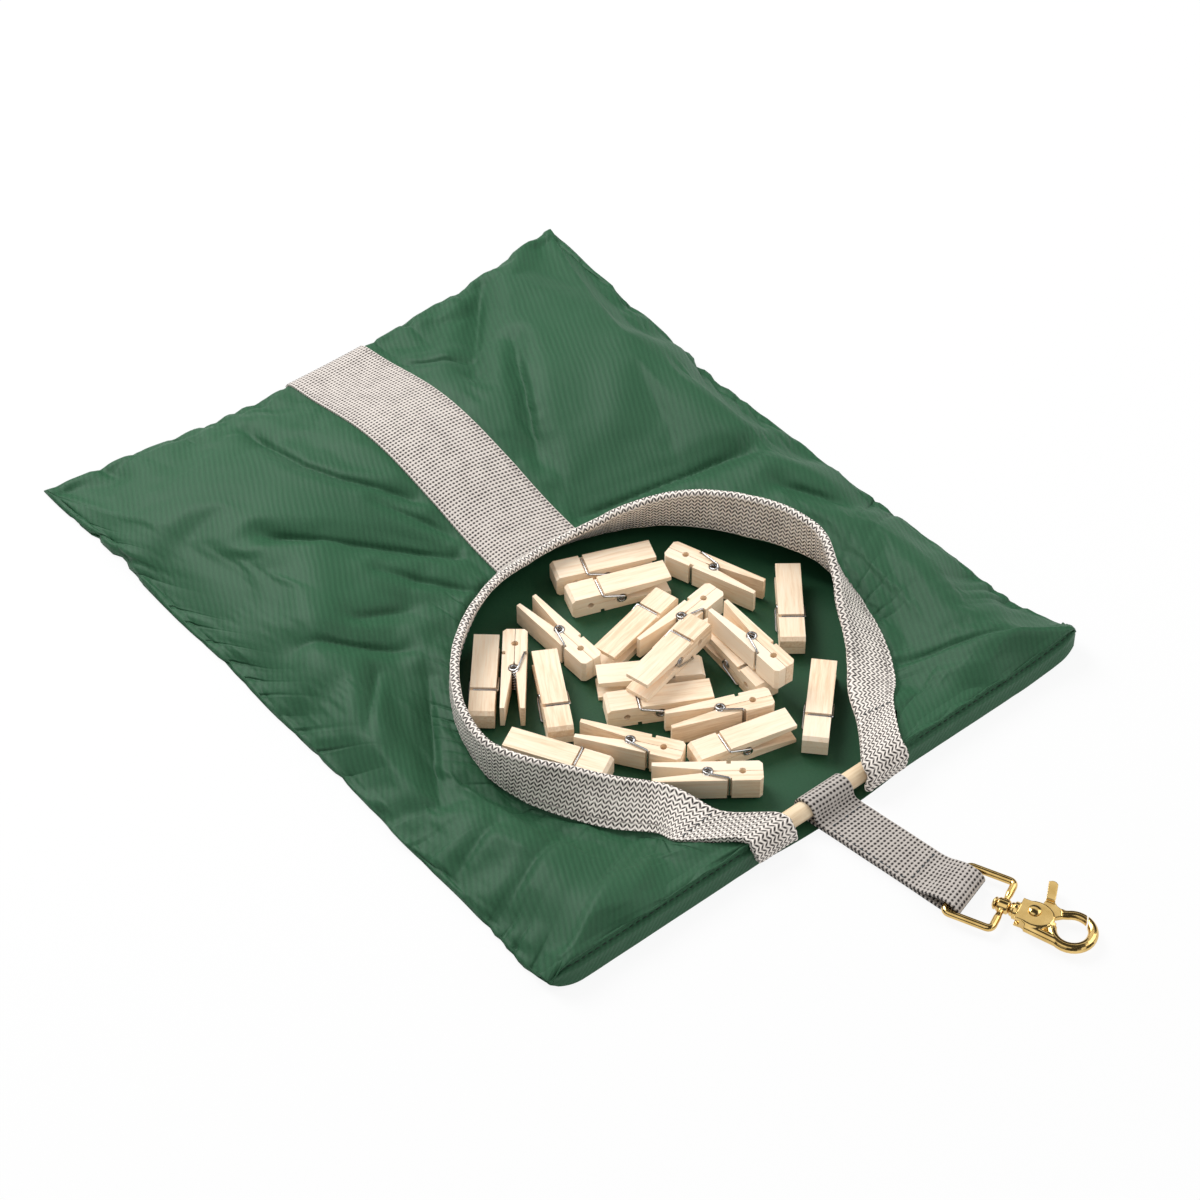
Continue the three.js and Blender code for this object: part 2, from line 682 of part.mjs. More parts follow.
// The stripe lies on the front panel's own columns, from the binding's foot to the bottom seam
function frontStripe() {
  const first = columns.findIndex(({ turn }) => Math.abs(turn + stripeTurn) < 1e-6);
  const firstRow = 3;
  const part = (lines) => lines.slice(first, first + stripeSteps + 1).map((line) => line.slice(firstRow));
  const low = clothThickness / 2 + seatGap;
  return sheet(part(panelGrid), part(panelNormals), low, low + webbingThickness);
}

// Folded webbing: two layers that grip the cloth at the foot, sewn together above it,
// with the rounded fold as the lip
function mouthBinding() {
  const slot = bindingSlot / 2;
  const shoulder = bindingWidth - bindingHalf * 0.9;
  const slotTop = bindingBite + 2 * seatGap;
  const section = [
    [bindingHalf, 0],
    [bindingHalf, shoulder],
    [bindingHalf * 0.65, bindingWidth - bindingHalf * 0.24],
    [0, bindingWidth],
    [-bindingHalf * 0.65, bindingWidth - bindingHalf * 0.24],
    [-bindingHalf, shoulder],
    [-bindingHalf, 0],
    [-slot, 0],
    [-slot, slotTop],
    [slot, slotTop],
    [slot, 0],
  ];
  const contour = section.map(([across, along]) => new THREE.Vector2(across, along));
  const endSteps = 6;
  const endTurns = Array.from({ length: endSteps }, (_, i) => lerp(rimTurn, panelTurn, i / endSteps));
  const startTurns = endTurns.map((turn) => -turn);
  const turns = [...startTurns, ...columns.map(({ turn }) => turn), ...endTurns.reverse()];
  const sections = turns.map((turn) => {
    const { foot, rise, face } = rimAt(turn);
    return contour.map((p) => foot.clone().addScaledVector(face, p.x).addScaledVector(rise, p.y));
  });
  return loft(sections, contour);
}

// Dowel and hem

function dowel() {
  const length = bagWidth - 2 * dowelInset;
  const chamfer = dowelRadius * 0.2;
  const half = length / 2;
  const profile = [
    [0, -half],
    [dowelRadius - chamfer, -half],
    [dowelRadius, -half + chamfer],
    [dowelRadius, half - chamfer],
    [dowelRadius - chamfer, half],
    [0, half],
  ];
  return turned(profile, 20).rotateZ(Math.PI / 2).translate(0, dowelY, dowelZ);
}

function dowelSleeve(side) {
  const ring = new THREE.Shape().absarc(dowelY, dowelZ, sleeveOuter, 0, 2 * Math.PI, false);
  ring.holes.push(new THREE.Path().absarc(dowelY, dowelZ, sleeveInner, 0, 2 * Math.PI, true));
  const inner = bareDowel / 2;
  const outer = bagWidth / 2 - sleeveInset;
  return crosswise(ring, outer - inner, 10).translate((side * (inner + outer)) / 2, 0, 0);
}

// Hanging strap

// Where a point of the strap's middle line lies, by its distance from the dowel's axis
function strapPlace(along) {
  const heading = radians(strapHeading);
  const bend = heading * clamp((along - strapStraight) / strapDrift, 0, 1);
  const radius = strapDrift / heading;
  const past = Math.max(along - strapStraight - strapDrift, 0);
  const x = -radius * (1 - Math.cos(bend)) - past * Math.sin(bend);
  const y = Math.min(along, strapStraight) + radius * Math.sin(bend) + past * Math.cos(bend);
  return { x, y: dowelY + y, heading: bend };
}

function hangingStrap() {
  const loopOuter = sleeveInner + strapLayer;
  const endOuter = barHoleHalf + strapLayer;
  const top = strapBottom + 2 * strapLayer;
  const endLow = strapReach + strapBarSlack;
  const endHigh = strapReach - strapBarSlack;
  const profile = new THREE.Shape();
  profile.moveTo(0, strapBottom);
  profile.lineTo(endLow, strapBottom);
  profile.absarc(endLow, snapZ, endOuter, -Math.PI / 2, Math.PI / 2, false);
  profile.lineTo(endHigh, snapZ + endOuter);
  const taperMiddle = endHigh - strapTaper / 2;
  profile.bezierCurveTo(taperMiddle, snapZ + endOuter, taperMiddle, top, endHigh - strapTaper, top);
  profile.lineTo(loopOuter + 2 * strapLayer, top);
  profile.quadraticCurveTo(loopOuter, top, loopOuter, dowelZ);
  profile.absarc(0, dowelZ, loopOuter, 0, 1.5 * Math.PI, false);
  const dowelHole = new THREE.Path().absarc(0, dowelZ, sleeveInner, 0, 2 * Math.PI, true);
  const barHole = new THREE.Path();
  barHole.absarc(endLow, snapZ, barHoleHalf, Math.PI / 2, -Math.PI / 2, true);
  barHole.absarc(endHigh, snapZ, barHoleHalf, -Math.PI / 2, -1.5 * Math.PI, true);
  profile.holes.push(dowelHole, barHole);
  const geometry = withSteps(crosswise(profile, strapWidth));
  const place = geometry.getAttribute("position");
  for (let i = 0; i < place.count; i += 1) {
    const { x, y, heading } = strapPlace(place.getY(i));
    const across = place.getX(i);
    place.setXYZ(i, x + across * Math.cos(heading), y + across * Math.sin(heading), place.getZ(i));
  }
  return geometry;
}

// Splits the strap's long faces where it drifts, so that its edges follow the drift in short straight steps
function withSteps(geometry) {
  const steps = 6;
  const far = 2 * strapReach;
  const bounds = Array.from({ length: steps + 1 }, (_, i) => strapStraight + (strapDrift * i) / steps);
  const edges = [-far, ...bounds, far];
  const pieces = edges.slice(1).map((high, i) => {
    const low = edges[i];
    const slab = new THREE.BoxGeometry(2 * strapWidth, high - low, far).translate(0, (low + high) / 2, 0);
    return common(geometry, slab);
  });
  return join(...pieces);
}

// Swivel snap, drawn with its axis along +Y from the eye bar

function snapEye() {
  const half = eyeInnerWidth / 2 + eyeBarRadius;
  const r = eyeCornerRadius;
  const corners = [
    arcPath(half - r, r, r, -90, 0, 4),
    arcPath(half - r, eyeLength - r, r, 0, 90, 4),
    arcPath(-half + r, eyeLength - r, r, 90, 180, 4),
    arcPath(-half + r, r, r, 180, 270, 4),
  ];
  const ring = bar(corners.flat(), () => eyeBarRadius, 10, true);
  const low = eyeLength - bossLength / 2;
  const high = eyeLength + bossLength / 2;
  const edge = bossRadius * 0.2;
  const profile = [
    [0, low],
    [bossRadius - edge, low],
    [bossRadius, low + edge],
    [bossRadius, high - edge],
    [bossRadius - edge, high],
    [0, high],
  ];
  const bore = new THREE.CylinderGeometry(postRadius + seatGap, postRadius + seatGap, bossLength + 2, 14);
  return cut(join(ring, turned(profile)), bore.translate(0, eyeLength, 0));
}

function swivelPost() {
  const headHigh = eyeLength - bossLength / 2 - seatGap;
  const headLow = headHigh - postHeadHeight;
  const tail = neckStart + postTail;
  return turned([
    [0, headLow],
    [postHeadRadius * 0.6, headLow],
    [postHeadRadius, headLow + postHeadHeight * 0.5],
    [postHeadRadius, headHigh],
    [postRadius, headHigh],
    [postRadius, tail],
    [0, tail],
  ], 14);
}

const fromRivet = (outline) => polygon(outline.map(([x, y]) => [rivetSide + x, rivetAlong + y]));

function hookBar(fromDegrees, toDegrees, radiusAt) {
  return bar(arcPath(0, ringAlong, ringRadius, fromDegrees, toDegrees, 16), radiusAt, 10);
}

function rivetHole() {
  const radius = rivetRadius + seatGap;
  const hole = new THREE.CylinderGeometry(radius, radius, 2 * plateThickness, 12);
  return hole.rotateX(Math.PI / 2).translate(rivetSide, rivetAlong, 0);
}

// Radius of the gate's swing at its tip, about the rivet
function gateSwing() {
  const [tip] = arcPath(0, ringAlong, ringRadius, gateTip, gateTip, 1);
  return Math.hypot(tip.x - rivetSide, tip.y - rivetAlong);
}

function swingCylinder(radius) {
  const round = new THREE.CylinderGeometry(radius, radius, 4 * plateThickness, 48);
  return round.rotateX(Math.PI / 2).translate(rivetSide, rivetAlong, 0);
}

function snapNeck() {
  const end = neckStart + neckLength;
  const root = end + plateBevel + neckRoot;
  const waist = neckRadius * 0.85;
  return turned([
    [0, neckStart],
    [waist, neckStart],
    [neckRadius, neckStart + collarEdge],
    [neckRadius, neckStart + collarLength],
    [waist, end],
    [waist, root],
    [0, root],
  ]);
}

function snapCheeks() {
  const oval = new THREE.Shape();
  oval.absellipse(0, plateMiddle, plateHalfWidth, plateHalfLength, 0, 2 * Math.PI);
  const settings = {
    depth: plateThickness - 2 * plateBevel,
    bevelThickness: plateBevel,
    bevelSize: plateBevel,
    bevelOffset: -plateBevel,
    bevelSegments: 2,
    curveSegments: 10,
  };
  const cheeks = new THREE.ExtrudeGeometry(oval, settings);
  return indexed(cheeks.translate(0, 0, -plateThickness / 2 + plateBevel));
}

// The body, with a slot for the trigger's root, open towards the gate, and a pocket for the spring
function snapBody() {
  const hook = hookBar(hookStart, hookRootEnd, () => hookBarRadius);
  const taper = hookBar(hookTaperStart, hookEnd, (s) => lerp(hookBarRadius, hookTipRadius, s));
  const tip = cut(taper, swingCylinder(gateSwing() + 2 * seatGap));
  const boreRadius = postRadius + seatGap;
  const boreDepth = postTail + seatGap;
  const bore = new THREE.CylinderGeometry(boreRadius, boreRadius, 2 * boreDepth, 14);
  bore.translate(0, neckStart, 0);
  const slot = plate(fromRivet(slotOutline), slotThickness);
  return cut(join(snapNeck(), snapCheeks(), hook, tip), slot, rivetHole(), bore);
}

function snapTrigger() {
  const root = new THREE.Vector3(rivetSide + gateRoot[0], rivetAlong + gateRoot[1], 0);
  const curve = arcPath(0, ringAlong, ringRadius, gateStart, gateTip - gateOverlap, 8);
  const gate = common(bar([root, ...curve], () => gateBarRadius, 10), swingCylinder(gateSwing()));
  const arm = plate(fromRivet(triggerOutline), triggerThickness);
  const tab = plate(fromRivet(tabOutline), tabThickness);
  return cut(join(arm, tab, gate), rivetHole());
}

function triggerRivet() {
  const seat = plateThickness / 2 + seatGap;
  const top = seat + rivetHeadHeight;
  const rivet = turned([
    [0, -top],
    [rivetHeadRadius * 0.6, -top + rivetHeadHeight * 0.2],
    [rivetHeadRadius, -seat],
    [rivetRadius, -seat],
    [rivetRadius, seat],
    [rivetHeadRadius, seat],
    [rivetHeadRadius * 0.6, top - rivetHeadHeight * 0.2],
    [0, top],
  ], 14);
  return rivet.rotateX(Math.PI / 2).translate(rivetSide, rivetAlong, 0);
}

function triggerSpring() {
  const steps = Math.round(triggerSpringCurls * 8);
  const start = heelAlong - seatGap - triggerSpringLength + triggerSpringWire / 2;
  const rise = triggerSpringLength - triggerSpringWire;
  const path = Array.from({ length: steps + 1 }, (_, i) => {
    const angle = (i / steps) * triggerSpringCurls * 2 * Math.PI;
    const x = springSide + triggerSpringRadius * Math.cos(angle);
    return new THREE.Vector3(x, start + (rise * i) / steps, triggerSpringRadius * Math.sin(angle));
  });
  const gap = leastSelfGap(path, triggerSpringWire, Math.PI * triggerSpringRadius);
  console.log(`trigger spring: least gap to itself ${gap.toFixed(2)} mm`);
  return bar(path, () => triggerSpringWire / 2, 5);
}

function swivelSnap() {
  const snap = new THREE.Group();
  const { x, y } = strapPlace(strapReach);
  snap.position.set(x, y, snapZ);
  snap.rotation.z = radians(snapHeading);
  snap.add(mesh("snap_eye", snapEye(), "brass"));
  snap.add(mesh("swivel_post", swivelPost(), "brass"));
  snap.add(mesh("snap_body", snapBody(), "brass"));
  snap.add(mesh("snap_trigger", snapTrigger(), "brass"));
  snap.add(mesh("trigger_rivet", triggerRivet(), "brass"));
  snap.add(mesh("trigger_spring", triggerSpring(), "steel"));
  return snap;
}

// Spring pegs, drawn about their middle with the jaw along +X and the parting plane at z = 0

const fromJaw = (distance) => pegLength / 2 - distance;

function pegHalf() {
  const face = seatGap / 2;
  const outer = pegThickness / 2;
  const grooveFloor = outer - springGrooveDepth;
  const coilGroove = pegCoilRadius + pegWire / 2 + seatGap;
  const half = new THREE.Shape();
  half.moveTo(fromJaw(0), face);
  half.lineTo(fromJaw(jawNotchAt - jawNotchRadius), face);
  half.absarc(fromJaw(jawNotchAt), face, jawNotchRadius, 0, Math.PI, false);
  half.absarc(
    fromJaw(coilAt), 0, coilGroove, Math.asin(face / coilGroove),
    Math.PI - Math.asin(handleGapAtCoil / 2 / coilGroove), false,
  );
  half.lineTo(fromJaw(pegLength), handleGapAtEnd / 2);
  half.lineTo(fromJaw(pegLength), outer);
  half.lineTo(fromJaw(springGrooveAt + springGrooveWidth / 2), outer);
  half.lineTo(fromJaw(springGrooveAt + springGrooveWidth / 2), grooveFloor);
  half.lineTo(fromJaw(springGrooveAt - springGrooveWidth / 2), grooveFloor);
  half.lineTo(fromJaw(springGrooveAt - springGrooveWidth / 2), outer);
  half.lineTo(fromJaw(pegNose), outer);
  half.lineTo(fromJaw(0), outer - pegNoseDrop);
  return plate(half, pegWidth, 3).rotateX(Math.PI / 2);
}

// The spring's wire: an arm across one outer groove, down the side to the coil,
// and out again to the other groove
function pegSpringPath(seat) {
  const armZ = pegThickness / 2 - springGrooveDepth + seat + pegWire / 2;
  const armX = fromJaw(springGrooveAt);
  const coilX = fromJaw(coilAt);
  const reach = Math.hypot(armX - coilX, armZ);
  const leave = Math.atan2(armZ, armX - coilX) + Math.acos(pegCoilRadius / reach);
  const sweep = 2 * Math.PI * pegCoilLoops - 2 * leave;
  const steps = Math.round((sweep / (2 * Math.PI)) * 7);
  const arm = (side) => [
    new THREE.Vector3(armX, -side * (pegWidth / 2 - pegArmInset), side * armZ),
    new THREE.Vector3(armX, side * (pegSpringSide - pegWire), side * armZ),
    new THREE.Vector3(armX - pegWire / 2, side * pegSpringSide, side * (armZ - pegWire / 3)),
  ];
  const coil = Array.from({ length: steps + 1 }, (_, i) => {
    const angle = -leave - (sweep * i) / steps;
    const y = lerp(-pegSpringSide, pegSpringSide, i / steps);
    return new THREE.Vector3(coilX + pegCoilRadius * Math.cos(angle), y, pegCoilRadius * Math.sin(angle));
  });
  return [...arm(-1), ...coil, ...arm(1).reverse()];
}

function pegSpring(seat) {
  return bar(pegSpringPath(seat), () => pegWire / 2, 4);
}

function pegMiddle({ side, along }) {
  return new THREE.Vector2((side / 100) * mouthRadius, mouthY + (along / 100) * mouthRadius);
}

function footprint({ heading, lie, ...spot }) {
  const along = new THREE.Vector2(Math.cos(radians(heading)), Math.sin(radians(heading)));
  const across = new THREE.Vector2(-along.y, along.x);
  const halves = [pegLength / 2, pegLieWidth[lie] / 2];
  return { middle: pegMiddle(spot), axes: [along, across], halves };
}

function footprintsMeet(a, b) {
  const apart = b.middle.clone().sub(a.middle);
  const reachOn = (box, axis) =>
    box.axes.reduce((sum, own, i) => sum + Math.abs(own.dot(axis)) * box.halves[i], 0);
  const clearOn = (axis) => Math.abs(apart.dot(axis)) > reachOn(a, axis) + reachOn(b, axis) + seatGap;
  return ![...a.axes, ...b.axes].some(clearOn);
}

// Each peg comes to rest on the back panel or on the pegs below it
function settle(layout) {
  const settled = [];
  for (const peg of layout) {
    const box = footprint(peg);
    const below = settled.filter((other) => footprintsMeet(box, other.box)).map((other) => other.top);
    const base = Math.max(clothThickness, ...below) + seatGap;
    settled.push({ ...peg, box, base, top: base + pegLieHeight[peg.lie] });
  }
  return settled;
}

function springPeg({ name, box, base, top, heading, lie, working }) {
  const place = new THREE.Group();
  place.position.set(box.middle.x, box.middle.y, (base + top) / 2);
  place.rotation.z = radians(heading);
  const roll = new THREE.Group();
  roll.rotation.x = lie === "side" ? Math.PI / 2 : 0;
  place.add(roll);
  const upper = pegHalf();
  const lower = pegHalf().rotateX(Math.PI);
  if (working) {
    roll.add(mesh(`${name}_lower_half`, lower, "pegWood"));
    roll.add(mesh(`${name}_upper_half`, upper, "pegWood"));
    roll.add(mesh(`${name}_spring`, pegSpring(seatGap), "steel"));
  } else {
    roll.add(mesh(name, join(lower, upper, pegSpring(-springBond)), "pegWood"));
  }
  return place;
}

function pegLoad() {
  const load = new THREE.Group();
  for (const peg of settle(pegLayout)) {
    load.add(springPeg(peg));
  }
  const gap = leastSelfGap(pegSpringPath(seatGap), pegWire, Math.PI * pegCoilRadius);
  console.log(`peg spring: least gap to itself ${gap.toFixed(2)} mm`);
  return load;
}

const pegBag = new THREE.Group();
pegBag.add(mesh("back_panel", backPanel(), "cloth"));
pegBag.add(mesh("front_panel", frontPanel(), "cloth"));
pegBag.add(mesh("mouth_binding", mouthBinding(), "webbing"));
pegBag.add(mesh("front_stripe", frontStripe(), "webbing"));
pegBag.add(mesh("dowel", dowel(), "dowel"));
pegBag.add(mesh("dowel_sleeve_right", dowelSleeve(1), "cloth"));
pegBag.add(mesh("dowel_sleeve_left", dowelSleeve(-1), "cloth"));
pegBag.add(mesh("hanging_strap", hangingStrap(), "webbing"));
pegBag.add(swivelSnap());
pegBag.add(pegLoad());

export default pegBag;
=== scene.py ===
import bpy
import math
import numpy as np
from mathutils import Matrix, Vector, bvhtree, noise


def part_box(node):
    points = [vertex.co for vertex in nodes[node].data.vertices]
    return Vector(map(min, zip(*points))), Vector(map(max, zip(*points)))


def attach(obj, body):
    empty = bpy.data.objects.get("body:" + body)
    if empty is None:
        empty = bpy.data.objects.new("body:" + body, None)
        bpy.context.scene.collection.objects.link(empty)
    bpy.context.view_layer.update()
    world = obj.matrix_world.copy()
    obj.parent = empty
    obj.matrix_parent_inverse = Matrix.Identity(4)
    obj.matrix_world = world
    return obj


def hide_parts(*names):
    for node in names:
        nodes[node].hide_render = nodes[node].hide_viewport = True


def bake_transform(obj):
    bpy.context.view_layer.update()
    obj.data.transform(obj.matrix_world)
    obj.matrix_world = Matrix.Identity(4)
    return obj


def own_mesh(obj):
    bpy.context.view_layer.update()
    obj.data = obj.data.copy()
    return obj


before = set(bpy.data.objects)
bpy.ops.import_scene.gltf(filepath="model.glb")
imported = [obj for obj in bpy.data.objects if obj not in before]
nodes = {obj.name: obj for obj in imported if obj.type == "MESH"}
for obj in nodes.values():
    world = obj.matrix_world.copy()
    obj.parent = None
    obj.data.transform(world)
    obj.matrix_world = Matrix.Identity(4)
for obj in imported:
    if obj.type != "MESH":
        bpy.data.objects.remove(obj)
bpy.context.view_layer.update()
scene = bpy.context.scene
mm = 0.001
print("frame loaded,", len(nodes), "nodes")


# small tools

def deselectAll():
    if bpy.context.object and bpy.context.object.mode != "OBJECT":
        bpy.ops.object.mode_set(mode="OBJECT")
    bpy.ops.object.select_all(action="DESELECT")


def pick(*objs):
    deselectAll()
    for obj in objs:
        obj.select_set(True)
    bpy.context.view_layer.objects.active = objs[0]


def newObject(name, data):
    obj = bpy.data.objects.new(name, data)
    scene.collection.objects.link(obj)
    return obj


def discard(obj):
    bpy.data.objects.remove(obj, do_unlink=True)


def modify(obj, kind, **values):
    pick(obj)
    step = obj.modifiers.new(kind.lower(), kind)
    for key, value in values.items():
        setattr(step, key, value)
    bpy.ops.object.modifier_apply(modifier=step.name)


def thicken(obj, thick):
    modify(obj, "SOLIDIFY", thickness=thick * mm, offset=0)


def smooth(obj, degrees):
    pick(obj)
    bpy.ops.object.shade_smooth_by_angle(angle=math.radians(degrees))


def metres(spot):
    return [v * mm for v in spot]


def readPoints(obj):
    flat = np.empty(len(obj.data.vertices) * 3, dtype=np.float32)
    obj.data.vertices.foreach_get("co", flat)
    return flat.reshape(-1, 3).astype(float)


def fillLayer(layer, key, values):
    layer.foreach_set(key, np.ascontiguousarray(values, dtype=np.float32).ravel())


def movePoints(obj, places):
    fillLayer(obj.data.vertices, "co", places)
    obj.data.update()


# a vector on every point, for a finish to read
def carry(obj, name, *values):
    layer = obj.data.attributes.new(name, "FLOAT_VECTOR", "POINT")
    fillLayer(layer.data, "vector", np.column_stack(values))


def setUv(obj, perPoint):
    layer = obj.data.uv_layers.active or obj.data.uv_layers.new(name="weave")
    order = np.empty(len(obj.data.loops), dtype=np.int32)
    obj.data.loops.foreach_get("vertex_index", order)
    fillLayer(layer.data, "uv", perPoint[order])


def dress(obj, finish):
    obj.data.materials.clear()
    obj.data.materials.append(finish)


# finish, body and the solid that the piece stands for
def complete(obj, finish, body, node=None):
    dress(obj, finish)
    if body:
        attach(obj, body)
    if node:
        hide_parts(node)


# a grid primitive whose points go to place(s, t), in mm, with its UV in metres
def gridPiece(name, columns, rows, place, weave=None):
    deselectAll()
    bpy.ops.mesh.primitive_grid_add(x_subdivisions=columns, y_subdivisions=rows, size=2)
    obj = bpy.context.object
    obj.name = name
    obj.data.name = name
    start = readPoints(obj)
    s = np.round((start[:, 0] + 1) / 2 * columns) / columns
    t = np.round((start[:, 1] + 1) / 2 * rows) / rows
    places = place(s, t)
    movePoints(obj, places * mm)
    setUv(obj, (weave(s, t) if weave else places[:, :2]) * mm)
    return obj


def mergeAndFill(obj, fill=True):
    pick(obj)
    bpy.ops.object.mode_set(mode="EDIT")
    bpy.ops.mesh.select_all(action="SELECT")
    bpy.ops.mesh.remove_doubles(threshold=1e-6)
    if fill:
        bpy.ops.mesh.select_all(action="DESELECT")
        bpy.ops.mesh.select_mode(type="EDGE")
        bpy.ops.mesh.select_non_manifold()
        bpy.ops.mesh.fill_holes(sides=0)
        bpy.ops.mesh.select_mode(type="VERT")
    bpy.ops.mesh.select_all(action="SELECT")
    bpy.ops.mesh.normals_make_consistent(inside=False)
    bpy.ops.object.mode_set(mode="OBJECT")


def share(x):
    return np.clip(x, 0, 1)


def hump(x):
    return np.exp(-x ** 2)


def unit(v):
    return v / np.maximum(np.linalg.norm(v, axis=1, keepdims=True), 1e-9)


# length of a line of points up to each of them
def runAlong(points):
    return np.concatenate([[0], np.cumsum(np.linalg.norm(np.diff(points, axis=0), axis=1))])


def noiseAt(x, y, z):
    return np.array([noise.noise(Vector(spot)) for spot in np.broadcast(x, y, z)])


# node tools

def newMaterial(name):
    finish = bpy.data.materials.new(name)
    finish.use_nodes = True
    tree = finish.node_tree
    return finish, tree, tree.nodes["Principled BSDF"]


def coordinate(tree, kind):
    return tree.nodes.new("ShaderNodeTexCoord").outputs[kind]


def carried(tree, name):
    node = tree.nodes.new("ShaderNodeAttribute")
    node.attribute_name = name
    return node.outputs["Vector"]


def setSockets(node, values):
    for key, value in values.items():
        node.inputs[key].default_value = value


def calc(operation, *values):
    tree = next(value.id_data for value in values if isinstance(value, bpy.types.NodeSocket))
    node = tree.nodes.new("ShaderNodeMath")
    node.operation = operation
    for value, socket in zip(values, node.inputs):
        if isinstance(value, bpy.types.NodeSocket):
            tree.links.new(value, socket)
        else:
            socket.default_value = value
    return node.outputs[0]


# adds a field that varies about one half
def vary(tone, field, amount):
    return calc("MULTIPLY_ADD", calc("SUBTRACT", field, 0.5), amount, tone)


def splitXyz(vector):
    tree = vector.id_data
    node = tree.nodes.new("ShaderNodeSeparateXYZ")
    tree.links.new(vector, node.inputs[0])
    return node.outputs


def mapped(vector, key, value):
    tree = vector.id_data
    node = tree.nodes.new("ShaderNodeMapping")
    node.inputs[key].default_value = value
    tree.links.new(vector, node.inputs["Vector"])
    return node.outputs[0]


def rampColour(shader, factor, *stops):
    tree = shader.id_data
    node = tree.nodes.new("ShaderNodeValToRGB")
    tree.links.new(factor, node.inputs[0])
    for i, (at, colour) in enumerate(stops):
        stop = node.color_ramp.elements[i] if i < 2 else node.color_ramp.elements.new(at)
        stop.position = at
        stop.color = (*colour, 1)
    tree.links.new(node.outputs[0], shader.inputs["Base Color"])


def noiseField(where, scale, detail=2.0, rough=0.5):
    tree = where.id_data
    node = tree.nodes.new("ShaderNodeTexNoise")
    setSockets(node, {"Scale": scale, "Detail": detail, "Roughness": rough})
    tree.links.new(where, node.inputs["Vector"])
    return node.outputs["Fac"]


def bump(shader, height, strength, distance, below=None):
    tree = shader.id_data
    node = tree.nodes.new("ShaderNodeBump")
    setSockets(node, {"Strength": strength, "Distance": distance})
    tree.links.new(height, node.inputs["Height"])
    if below is not None:
        tree.links.new(below, node.inputs["Normal"])
    tree.links.new(node.outputs[0], shader.inputs["Normal"])
    return node.outputs[0]


# finishes

clothWeave = {"ribPitch": 0.0029, "ribTurn": 28, "ribWander": 9.0, "threadPitch": 0.00062}
frontClothLook = {
    "deep": (0.0145, 0.068, 0.030), "lit": (0.027, 0.112, 0.050),
    "rib": 0.18, "roughness": 0.58, "creased": True,
}
# the back panel's inner face: the same cloth with a smoother weave, darker than the front as painted shade
# for the shade inside the mouth
insideShadedClothLook = {
    "deep": (0.012, 0.060, 0.026), "lit": (0.022, 0.098, 0.043),
    "rib": 0.02, "roughness": 0.5, "creased": False,
}
creaseLook = {  # widths in mm; a tuck has its depth, its width in the noise and its reach
    "step": 4.0, "stepWidth": 5.5, "valley": -0.75, "valleyWidth": 2.4,
    "seamTuck": (-1.4, 0.08, 9.0), "rimTuck": (-0.9, 0.09, 10.0),
}


def bell(value, width):
    part = calc("DIVIDE", value, width)
    return calc("EXPONENT", calc("MULTIPLY", calc("MULTIPLY", part, part), -1.0))


# height in mm of the crisp creases and tucks, from what the front panel's points carry
def creaseHeight(tree, look):
    side, depth, fromSeam = splitXyz(carried(tree, "creaseMap"))
    seam, rim, fromRim = splitXyz(carried(tree, "tuckMap"))
    step = calc("MULTIPLY", calc("DIVIDE", side, look["step"]), bell(side, look["stepWidth"]))
    valley = bell(side, look["valleyWidth"])
    height = calc("MULTIPLY", calc("MULTIPLY_ADD", valley, look["valley"], step), depth)
    tucked = ((seam, fromSeam, look["seamTuck"]), (rim, fromRim, look["rimTuck"]))
    for tuck, away, (deep, width, reach) in tucked:
        fade = calc("EXPONENT", calc("DIVIDE", away, -reach))
        height = calc("MULTIPLY_ADD", calc("MULTIPLY", bell(tuck, width), fade), deep, height)
    return height


def bagClothFinish(name, look):
    finish, tree, shader = newMaterial(name)
    uv = coordinate(tree, "UV")
    turned = mapped(uv, "Rotation", (0, 0, math.radians(clothWeave["ribTurn"])))
    across, along, _ = splitXyz(turned)
    ribPhase = calc("MULTIPLY", across, 2 * math.pi / clothWeave["ribPitch"])
    ribPhase = calc("MULTIPLY_ADD", noiseField(uv, 30), clothWeave["ribWander"], ribPhase)
    rib = calc("MULTIPLY", calc("SINE", ribPhase), noiseField(uv, 55, 3))
    threads = 2 * math.pi / clothWeave["threadPitch"]
    warp, weft = [calc("SINE", calc("MULTIPLY", way, threads)) for way in (across, along)]
    weave = calc("MULTIPLY", warp, weft)
    fine = noiseField(uv, 900)
    slow = calc("MULTIPLY_ADD", noiseField(coordinate(tree, "Object"), 14, 3), 0.3, 0.35)
    tone = vary(calc("MULTIPLY_ADD", rib, look["rib"], slow), fine, 0.35)
    rampColour(shader, tone, (0.25, look["deep"]), (0.8, look["lit"]))
    setSockets(shader, {
        "Roughness": look["roughness"], "Specular IOR Level": 0.3,
        "Sheen Weight": 0.04, "Sheen Roughness": 0.4, "Sheen Tint": (0.6, 1.0, 0.75, 1),
    })
    low = bump(shader, calc("MULTIPLY_ADD", weave, 0.35, fine), 0.25, 0.0002)
    low = bump(shader, rib, look["rib"], 0.0004, low)
    if look["creased"]:
        bump(shader, creaseHeight(tree, creaseLook), 1.0, 0.001, low)
    return finish


